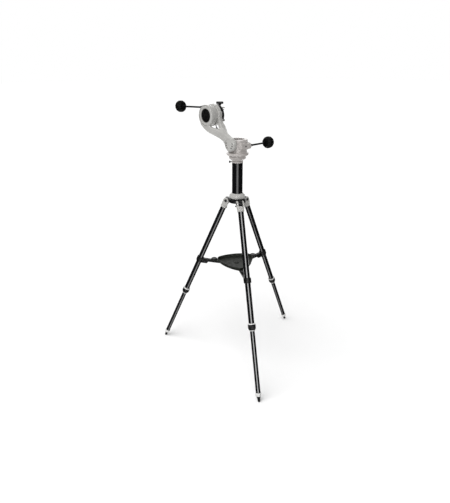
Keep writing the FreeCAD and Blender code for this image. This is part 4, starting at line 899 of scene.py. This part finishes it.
piece("pivot_cap", sculpt(cover_field, (-54.2, -26, PIVOT_Z - 26), (-48, 26, PIVOT_Z + 26), 0.5), "azimuth_head", "arm_pivot_cover", "grey", sharp=None, weighted=False)
hv, hf = hex_screw(2.75, 1.25, 0.0, 36)
parts = [(place(hv, (-51.35, y, z), (-1, 0, 0)), hf) for y, z in PIV]
hv, hf = hex_screw(3.4, 2.0, 0.0, 36)
parts.append((place(hv, (3.1, -47.1, 1085.4), (0, -1, 0)), hf))
piece("case_screws", join(parts), "azimuth_head", "housing_screws", "dsteel")

# axis nut and bolt end in the recess
v1, f1 = lathe([(5.1, 1097.7), (12.0, 1097.7, 0.3), (12.0, 1099.2, 0.3), (9.0, 1099.2), (5.1, 1099.2)], 72)
hx = []
hxf = []
prof = rounded([(5.1, 1099.2), (9.1, 1099.2), (9.1, 1103.9, 0.6), (8.2, 1104.6, 0.4), (5.6, 1104.6, 0.3), (5.1, 1104.2)], 3)
seg = 72
for r, h in prof:
    for j in range(seg):
        t = 2 * math.pi * j / seg
        k = math.cos(math.pi / 6) / math.cos((t % (math.pi / 3)) - math.pi / 6) if r > 6.5 else 1.0
        hx.append((r * k * math.cos(t), r * k * math.sin(t), h))
for i in range(len(prof)):
    for j in range(seg):
        a, b = i * seg + j, i * seg + (j + 1) % seg
        c, d = ((i + 1) % len(prof)) * seg + (j + 1) % seg, ((i + 1) % len(prof)) * seg + j
        hxf.append((a, b, c, d))
piece("axis_nut", join([(v1, f1), (np.array(hx), hxf)]), "tripod", "azimuth_axis_nut", "dsteel")
turned("axis_bolt", [(0, 972.2), (8.4, 972.2, 0.6), (8.4, 979.9, 0.3), (5.0, 979.9), (5.0, 1104.4, 0.5), (0, 1105.0)], (0, 0, 0), (0, 0, 1), "tripod", "azimuth_axis_bolt", "dsteel", 48)


# ------------------------------------------------------------------- controls
def knob_mesh(r0=KNOB_R, half=KNOB_LEN / 2):
    """Ribbed control knob about local Z: straight band, broad chamfers, shallow dished outer end."""
    prof = rounded([(ROD_R, -half), (r0 * 0.66, -half, 1.2), (r0 * 0.74, -half * 0.96, 2.0), (r0 * 0.965, -half * 0.50, 4.0), (r0, -half * 0.34, 3.0), (r0, half * 0.34, 3.0), (r0 * 0.965, half * 0.50, 4.0), (r0 * 0.76, half * 0.95, 2.0), (r0 * 0.66, half, 1.2), (r0 * 0.56, half, 0.8), (r0 * 0.50, half * 0.93, 0.8), (0.0, half * 0.91)], 6)
    fine = []
    for i in range(len(prof) - 1):
        a, b = prof[i], prof[i + 1]
        k = max(1, int(math.hypot(b[0] - a[0], b[1] - a[1]) / 1.2))
        for j in range(k):
            fine.append((a[0] + (b[0] - a[0]) * j / k, a[1] + (b[1] - a[1]) * j / k))
    fine.append(prof[-1])
    seg = 240
    verts, faces = [], []
    for r, h in fine:
        w = max(0.0, min(1.0, (r / r0 - 0.62) / 0.26))
        w = w * w * (3 - 2 * w)
        for j in range(seg):
            t = 2 * math.pi * j / seg
            s = math.cos(12 * t)
            g = max(0.0, s) ** 1.1
            rr = r * (1 - 0.060 * g * w) if r > 0 else 0.0
            verts.append((rr * math.cos(t), rr * math.sin(t), h))
    n = len(fine)
    for i in range(n - 1):
        for j in range(seg):
            faces.append((i * seg + j, i * seg + (j + 1) % seg, (i + 1) * seg + (j + 1) % seg, (i + 1) * seg + j))
    # close the hub side round the rod
    c = len(verts)
    verts.append((0, 0, fine[0][1] + 0.01))
    for j in range(seg):
        faces.append((c, (j + 1) % seg, j))
    return np.array(verts), faces


KN = knob_mesh()
az_o, az_d, az_x = (0, -AZ_C, AZ_WORM_Z), (1, 0, 0), (0, 1, 0)
kv = KN[0] + np.array([0, 0, AZ_KNOB_X])
piece("azimuth_grip", (place(kv, az_o, az_d, az_x), KN[1]), "azimuth_control", "azimuth_control_knob", "knob", sharp=None, weighted=False)
rod_prof = lambda z0, z1, s0, s1: [(0, z0), (ROD_R, z0, 0.2), (ROD_R, s0), (6.2, s0, 0.5), (6.2, s1 - 0.8, 0.4), (5.4, s1, 0.5), (ROD_R, s1), (ROD_R, z1, 0.3), (0, z1)]
turned("azimuth_rod", rod_prof(24.0, AZ_KNOB_X + 5.0, 40.2, 53.0), az_o, az_d, "azimuth_control", "azimuth_control_rod", "rod_az", 64)
tilt_d = (0, math.cos(TILT), math.sin(TILT))
alt_o = (ALT_WORM_X, ALT_Y - ALT_C * math.sin(TILT), ALT_Z + ALT_C * math.cos(TILT))
alt_x = (0, math.sin(TILT), -math.cos(TILT))
kv = KN[0] + np.array([0, 0, ALT_KNOB_Y - ALT_Y])
piece("altitude_grip", (place(kv, alt_o, tilt_d, alt_x), KN[1]), "altitude_control", "altitude_control_knob", "knob", sharp=None, weighted=False)
turned("altitude_rod", rod_prof(24.0, ALT_KNOB_Y - ALT_Y + 5.0, ALT_FACE + 2.0, ALT_FACE + 15.0), alt_o, tilt_d, "altitude_control", "altitude_control_rod", "rod_alt", 64)

# ------------------------------------------------------------------- fork arm
LEFT = Poly([(190, 1206), (187.5, 1184, 8), (176, 1161, 20), (154, 1146, 20), (136, 1136.5, 16), (117, 1130, 30), (100, 1125.5, 30), (62, 1113, 30), (41, 1103.5, 20), (29, 1091.5, 12), (21, 1080, 10), (12, 1068, 8), (-2, 1064.3, 8), (-18, 1070.5, 8), (-28, 1084, 8), (-29, 1098, 8), (-19, 1113.5, 10), (8, 1126, 30), (34, 1138, 30), (56, 1149, 16), (80, 1152.5, 20), (102, 1155.5, 20), (118, 1160.5, 12), (112, 1178, 6), (120, 1204, 0), (160, 1215, 0)], 0.6, 12.0)
RIGHT = Poly([(90, 1222, 4), (92.5, 1199, 12), (84, 1177, 20), (70, 1166, 20), (58, 1155.5, 20), (46, 1147, 20), (10, 1127, 20), (-19, 1113, 10), (-29, 1096, 10), (-24, 1078, 8), (0, 1070, 10), (22, 1086, 10), (34, 1102, 20), (54, 1117, 20), (70, 1131, 20), (82, 1146, 20), (99, 1169, 20), (106, 1182, 12), (113, 1200, 10), (118, 1222, 4)], 0.6, 12.0)
LL = math.hypot(ALT_Y, ALT_Z - PIVOT_Z)
UY, UZ = ALT_Y / LL, (ALT_Z - PIVOT_Z) / LL


def smooth_line(xs, ys, width=10.0):
    g = np.arange(-60.0, 300.0, 1.0)
    v = np.interp(g, xs, ys)
    k = np.exp(-0.5 * (np.arange(-30, 31) / width) ** 2)
    k /= k.sum()
    v = np.convolve(np.pad(v, 30, mode="edge"), k, mode="valid")
    return lambda l: np.interp(l, g, v)


LX0 = smooth_line([20, 60, 100, 130], [-52, -54.5, -60.5, -62])
LX1 = smooth_line([44, 72, 100, 124], [-33.3, -29.0, -38.5, -46.5])
RX0 = smooth_line([20, 60, 90, 120, 142], [-50, -48, -40, -29, -25.5])
RX1 = smooth_line([46, 58, 74, 98, 122], [-33.3, -25.0, -16.0, -8.0, -5.0], 6.0)
LRING = Poly([(43.02, -62.0), (44.2, -62.0, 1.0), (45.6, -60.6, 1.2), (45.6, -46.5, 0.8), (43.02, -46.5)], 0.25, 8.0, 4)
RRING = Poly([(43.02, -25.5), (46.6, -25.5, 1.0), (46.6, -5.0, 1.0), (43.02, -5.0)], 0.25, 8.0, 4)


def arm_field(x, y, z):
    l = y * UY + (z - PIVOT_Z) * UZ
    r_alt = np.sqrt((y - ALT_Y) ** 2 + (z - ALT_Z) ** 2)
    r_piv = np.sqrt(y * y + (z - PIVOT_Z) ** 2)
    pl, pr = LEFT(y, z), RIGHT(y, z)
    a0, a1 = LX0(l), LX1(l)
    left = rmax(pl, np.abs(x - (a0 + a1) / 2) - (a1 - a0) / 2, 6.0)
    b0, b1 = RX0(l), RX1(l)
    right = rmax(pr, np.abs(x - (b0 + b1) / 2) - (b1 - b0) / 2, 5.0)
    d = smin(left, right, 9.0)
    d = smin(d, f_cyl(r_piv, x, -52.0, -33.3, 29.0, 3.0), 3.0)
    d = smin(d, LRING(r_alt, x), 3.5)
    d = smin(d, RRING(r_alt, x), 3.5)
    d = smax(d, 43.02 - r_alt, 0.5)
    d = smax(d, -f_cyl(r_piv, x, -33.3, 40.0, 49.6, 0.2), 2.0)
    d = smax(d, -f_cyl(r_piv, x, -60.0, -20.0, 22.6, 0.1), 0.5)
    d = smax(d, -f_cyl(r_piv, x, -60.0, -49.3, 24.8, 0.1), 0.5)
    d = np.maximum(d, x + 5.0)
    return d


piece("fork_casting", sculpt(arm_field, (-65, -33, 1061), (-2, 193, 1255), 1.0), "arm", "fork_arm", "grey", sharp=None, weighted=False)


hv, hf = hex_screw(2.6, 1.6, 0.0, 36)
sx = -15.0
parts = [(place(hv, (sx, ALT_Y, ALT_Z + 46.3), (0, 0, 1)), hf)]
hv, hf = hex_screw(1.9, 0.7, 0.0, 32)
parts.append((place(hv, (-51.9, 10.0, PIVOT_Z - 24.9), (-1, 0, 0)), hf))
piece("arm_set_screws", join(parts), "arm", None, "dsteel")

# barrel with the control rod's boss
BARREL = Poly([(0, -5.05), (42.3, -5.05, 0.5), (43.0, -5.8, 0.4), (43.0, -59.2, 0.8), (41.8, -60.6, 0.8), (31.2, -60.6, 0.5), (30.6, -59.4, 0.3), (0, -59.4)], 0.25, 8.0, 4)


def barrel_field(x, y, z):
    r = np.sqrt((y - ALT_Y) ** 2 + (z - ALT_Z) ** 2)
    d = BARREL(r, x)
    ry, rz = y - alt_o[1], z - alt_o[2]
    w = ry * tilt_d[1] + rz * tilt_d[2]
    u = -ry * tilt_d[2] + rz * tilt_d[1]
    rr = np.sqrt((x - alt_o[0]) ** 2 + u * u)
    d = smin(d, f_cyl(rr, w, 0.0, ALT_FACE, 9.9, 1.0), 3.0)
    d = smax(d, -f_cyl(rr, w, 30.0, 70.0, 7.4, 0.1), 0.5)
    d = smax(d, -f_cyl(r, x, -55.0, 10.0, 15.1, 0.1), 0.5)
    return d


piece("barrel_case", sculpt(barrel_field, (-62.5, ALT_Y - 45, ALT_Z - 45), (-3.4, ALT_Y + 46, ALT_Z + 45), 0.9), "arm", "altitude_housing", "grey", sharp=None, weighted=False)
turned("altitude_gland", [(ROD_R + 0.1, 32.0), (7.3, 32.0), (7.3, ALT_FACE), (8.2, ALT_FACE, 0.2), (8.4, ALT_FACE + 0.8, 0.4), (7.8, ALT_FACE + 1.4, 0.3), (ROD_R + 0.1, ALT_FACE + 1.4, 0.3)], alt_o, tilt_d, "arm", "altitude_worm_bush", "anod", 64)
turned("barrel_cap", [(0, 58.2), (29.4, 58.2), (29.4, 60.0, 0.5), (28.6, 60.8, 0.5), (26.5, 60.9, 0.2), (26.1, 60.6, 0.15), (25.7, 60.6, 0.15), (25.3, 61.0, 0.2), (14.0, 61.2), (0, 61.3)], (0, ALT_Y, ALT_Z), (-1, 0, 0), "arm", "altitude_end_cap", "plastic", 128)
# lock screw under the barrel
aa = math.radians(22.0)
al_d = (0, -math.sin(aa), -math.cos(aa))
v, f = lathe([(0, 18.0), (2.0, 18.0), (2.0, 57.4), (3.2, 57.6, 0.3), (4.6, 58.0, 0.5), (5.3, 59.0, 0.7), (5.3, 61.8, 0.8), (4.6, 63.0, 0.6), (0, 63.1)], 60)
w = []
for p in v:
    t = math.atan2(p[1], p[0])
    k = 1 - 0.05 * (0.5 + 0.5 * math.cos(12 * t)) if math.hypot(p[0], p[1]) > 4.8 else 1.0
    w.append((p[0] * k, p[1] * k, p[2]))
piece("altitude_lock_knob", (place(w, (-15.0, ALT_Y, ALT_Z), al_d), f), "altitude_lock", "altitude_lock_screw", "plastic")

# --------------------------------------------------------------------- saddle
turned("altitude_shaft_turned", [(0, 53.8), (9.0, 53.8, 0.4), (9.0, 38.6), (10.0, 38.6), (10.0, 33.4), (15.0, 33.4), (15.0, 4.6), (0, 4.6)], (0, ALT_Y, ALT_Z), (-1, 0, 0), "saddle", "altitude_shaft", "steel", 72)
turned("altitude_disc_turned", [(0, -4.55), (43.0, -4.55, 0.5), (44.0, -3.6, 0.5), (44.0, 2.6, 0.3), (43.3, 3.2, 0.2), (43.3, 4.2, 0.2), (44.0, 4.8, 0.3), (44.0, 12.4, 0.9), (42.6, 13.95, 0.8), (0, 13.95)], (0, ALT_Y, ALT_Z), (1, 0, 0), "saddle", "altitude_disc", "anod", 128)
T15 = math.tan(math.radians(15.0))
SLOT = Poly([(19.5, ALT_Z - 22.6, 0.4), (35.5, ALT_Z - 22.6 + 16.0 * T15), (60, ALT_Z - 22.6 + 16.0 * T15), (60, ALT_Z + 28.6), (19.5, ALT_Z + 28.6, 0.6),
             (19.5, ALT_Z + 9.7, 0.1), (20.0, ALT_Z + 9.3, 0.1), (20.0, ALT_Z - 9.3, 0.1), (19.5, ALT_Z - 9.7, 0.1)], 0.25, 10.0)


def saddle_field(x, y, z):
    d = f_box(x, y, z, (14.0, ALT_Y - 29, ALT_Z - 29.5), (31.5, ALT_Y + 29, ALT_Z + 34), 2.0)
    q1 = np.abs(y - ALT_Y) - 29 + 6
    q2 = np.abs(z - (ALT_Z + 2.25)) - 31.75 + 6
    prof = np.sqrt(np.maximum(q1, 0) ** 2 + np.maximum(q2, 0) ** 2) + np.minimum(np.maximum(q1, q2), 0) - 6
    d = smax(d, prof, 1.2)
    d = smax(d, -SLOT(x, z), 0.8)
    hole = np.sqrt((x - 26.0) ** 2 + (y - ALT_Y) ** 2) - 3.2
    d = smax(d, -rmax(hole, ALT_Z + 27 - z, 0.1), 0.5)
    relief = f_box(x, y, z, (29.3, ALT_Y - 16, ALT_Z - 28), (40, ALT_Y + 16, ALT_Z - 22.5), 1.5)
    d = smax(d, -relief, 0.8)
    for sy in (-1, 1):
        for sz in (-1, 1):
            r = np.sqrt((y - ALT_Y - sy * 20) ** 2 + (z - ALT_Z - sz * 14) ** 2) - 3.9
            d = smax(d, -rmax(r, 15.5 - x, 0.1), 0.5)
    return d


piece("saddle_casting", sculpt(saddle_field, (12.5, ALT_Y - 31, ALT_Z - 32), (34, ALT_Y + 31, ALT_Z + 36), 0.68), "saddle", "dovetail_saddle", "grey", sharp=None, weighted=False)
hv, hf = hex_screw(3.6, 3.7, 0.0, 36)
piece("saddle_bolts", join([(place(hv, (15.55, ALT_Y + sy * 20, ALT_Z + sz * 14), (1, 0, 0)), hf) for sy in (-1, 1) for sz in (-1, 1)]), "saddle", "saddle_screws", "dsteel")
SHOE = Poly([(19.95, ALT_Z + 23.2, 0.3), (30.9, ALT_Z + 20.25, 0.4), (30.9, ALT_Z + 24.6, 0.4), (19.95, ALT_Z + 24.6, 0.3)], 0.2, 4.0)
piece("clamp_shoe_bar", sculpt(lambda x, y, z: rmax(SHOE(x, z), np.abs(y - ALT_Y) - 24.0, 0.6), (18.8, ALT_Y - 25.2, ALT_Z + 19.0), (32, ALT_Y + 25.2, ALT_Z + 25.8), 0.45), "clamp_shoe", "clamp_shoe", "steel", sharp=None, weighted=False)


def tknob_field(x, y, z):
    a = math.radians(45.0)
    dx, dy, h = x - 26.0, y - ALT_Y, z - (ALT_Z + 24.6)
    u = dx * math.cos(a) - dy * math.sin(a)
    w = dx * math.sin(a) + dy * math.cos(a)
    rho = np.sqrt(dx * dx + dy * dy)
    bar = f_box(u, w, h, (-16.4, -5.7, 20.5), (16.4, 5.7, 31.1), 3.2)
    waist = np.sqrt((np.abs(u) - 9.5) ** 2 + (np.abs(w) - 10.8) ** 2) - 6.0
    bar = smax(bar, -waist, 1.5)
    cone = rmax(rho - np.interp(h, [10.0, 14.0, 20.6, 23.0], [4.0, 4.6, 7.7, 7.7]), np.abs(h - 16.55) - 6.5, 0.6)
    shank = rmax(rho - 3.0, np.abs(h - 10.0) - 9.9, 0.2)
    return smin(smin(bar, cone, 2.2), shank, 0.6)


piece("t_knob", sculpt(tknob_field, (8, ALT_Y - 18, ALT_Z + 24.0), (44, ALT_Y + 18, ALT_Z + 58), 0.5), "clamp_knob", "clamp_knob", "plastic", sharp=None, weighted=False)

# sealed inner CAD parts keep their meshes and take the machined finishes
for node, mat in (("azimuth_worm_wheel", "brass"), ("azimuth_worm", "steel"), ("altitude_worm", "steel"), ("altitude_worm_wheel", "brass"), ("altitude_retaining_ring", "dsteel")):
    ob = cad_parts[node]
    ob.data.materials.clear()
    ob.data.materials.append(M[mat])

# --------------------------------------------------------------- camera, room
C = Vector((-1.30361, -1.30613, 1.38570))
FW = Vector((0.62580, 0.66753, -0.40345)).normalized()
roll = math.radians(0.247)
right0 = FW.cross(Vector((0, 0, 1))).normalized()
up0 = right0.cross(FW).normalized()
right = right0 * math.cos(roll) - up0 * math.sin(roll)
up = up0 * math.cos(roll) + right0 * math.sin(roll)
cam_data = bpy.data.cameras.new("camera")
cam_data.sensor_fit = "AUTO"
cam_data.sensor_width = 36.0
cam_data.lens = 409.367 * 36.0 / 503.0
cam_data.clip_end = 200.0
cam = bpy.data.objects.new("camera", cam_data)
bpy.context.scene.collection.objects.link(cam)
mw = Matrix.Identity(4)
for i in range(3):
    mw[i][0], mw[i][1], mw[i][2], mw[i][3] = right[i], up[i], -FW[i], C[i]
cam.matrix_world = mw
bpy.context.scene.camera = cam

fme = bpy.data.meshes.new("studio_floor")
S = 60.0
fme.from_pydata([(-S, -S, -0.0012), (S, -S, -0.0012), (S, S, -0.0012), (-S, S, -0.0012)], [], [(0, 1, 2, 3)])
floor = bpy.data.objects.new("studio_floor", fme)
bpy.context.scene.collection.objects.link(floor)
fm = bpy.data.materials.new("studio_floor")
t, b = nt(fm)
v = coords(t)
t.links.new(ramp(t, noise(t, v, 2.0, 3.0), [(0.3, (0.93, 0.93, 0.93)), (0.7, (0.95, 0.95, 0.95))]), b.inputs["Base Color"])
b.inputs["Roughness"].default_value = 0.95
b.inputs["Specular IOR Level"].default_value = 0.0
fme.materials.append(fm)
floor.visible_glossy = False

# Studio: white surround, even fill, and tall softboxes seen only as reflections.
bpy.context.scene.view_settings.view_transform = "Standard"
bpy.context.scene.view_settings.look = "None"
world = bpy.data.worlds.new("studio")
bpy.context.scene.world = world
world.use_nodes = True
world.cycles.sampling_method = "NONE"
FILL, DIM, SOFT_FRONT, SOFT_BACK, SOFT_TOP = 0.46, 0.02, 13.0, 3.0, 0.4
BOX_DIR = (-0.684, -0.7295)
w = world.node_tree
w.nodes.clear()
wo = w.nodes.new("ShaderNodeOutputWorld")
bg = w.nodes.new("ShaderNodeBackground")
w.links.new(bg.outputs[0], wo.inputs[0])
tc = w.nodes.new("ShaderNodeTexCoord")
sep = w.nodes.new("ShaderNodeSeparateXYZ")
w.links.new(tc.outputs["Generated"], sep.inputs[0])
dx, dy, dz = sep.outputs
hor = math_(w, "SQRT", math_(w, "ADD", math_(w, "MULTIPLY", dx, dx), math_(w, "ADD", math_(w, "MULTIPLY", dy, dy), 1e-4)))
cs = math_(w, "DIVIDE", math_(w, "ADD", math_(w, "MULTIPLY", dx, BOX_DIR[0]), math_(w, "MULTIPLY", dy, BOX_DIR[1])), hor)


def soft_step(v, lo, hi, a=0.0, c=1.0):
    n = w.nodes.new("ShaderNodeMapRange")
    n.interpolation_type = "SMOOTHSTEP"
    for i, q in enumerate((lo, hi, a, c)):
        n.inputs[i + 1].default_value = q
    w.links.new(v, n.inputs[0])
    return n.outputs[0]


front = soft_step(cs, math.cos(math.radians(24.0)), math.cos(math.radians(11.0)))
back = soft_step(cs, -math.cos(math.radians(22.0)), -math.cos(math.radians(40.0)), 1.0, 0.0)
height = soft_step(dz, -0.25, 0.10, 0.40, 1.0)
cut = soft_step(dz, 0.55, 0.80, 1.0, 0.15)
gloss = math_(w, "MULTIPLY", math_(w, "MULTIPLY", front, height), math_(w, "MULTIPLY", cut, SOFT_FRONT))
gloss = math_(w, "ADD", gloss, math_(w, "MULTIPLY", math_(w, "MULTIPLY", back, cut), SOFT_BACK))
gloss = math_(w, "ADD", gloss, math_(w, "MULTIPLY", soft_step(dz, 0.35, 0.95), SOFT_TOP))
gloss = math_(w, "ADD", gloss, DIM)
lp = w.nodes.new("ShaderNodeLightPath")
level = math_(w, "ADD", math_(w, "MULTIPLY", lp.outputs["Is Glossy Ray"], gloss), math_(w, "MULTIPLY", math_(w, "SUBTRACT", 1.0, lp.outputs["Is Glossy Ray"]), FILL))
level = math_(w, "ADD", math_(w, "MULTIPLY", lp.outputs["Is Camera Ray"], 1.0), math_(w, "MULTIPLY", math_(w, "SUBTRACT", 1.0, lp.outputs["Is Camera Ray"]), level))
w.links.new(level, bg.inputs[1])
bg.inputs[0].default_value = (1.0, 1.0, 1.0, 1)

sd = bpy.data.lights.new("soft_key", "SUN")
sd.energy = 2.5
sd.angle = math.radians(65.0)
sun = bpy.data.objects.new("soft_key", sd)
sun_from = Vector((-0.6675 * 0.45 - 0.684 * 0.35, 0.6258 * 0.45 - 0.7295 * 0.35, 0.80)).normalized()
sun.rotation_euler = sun_from.to_track_quat("Z", "Y").to_euler()
sun.visible_glossy = False
bpy.context.scene.collection.objects.link(sun)
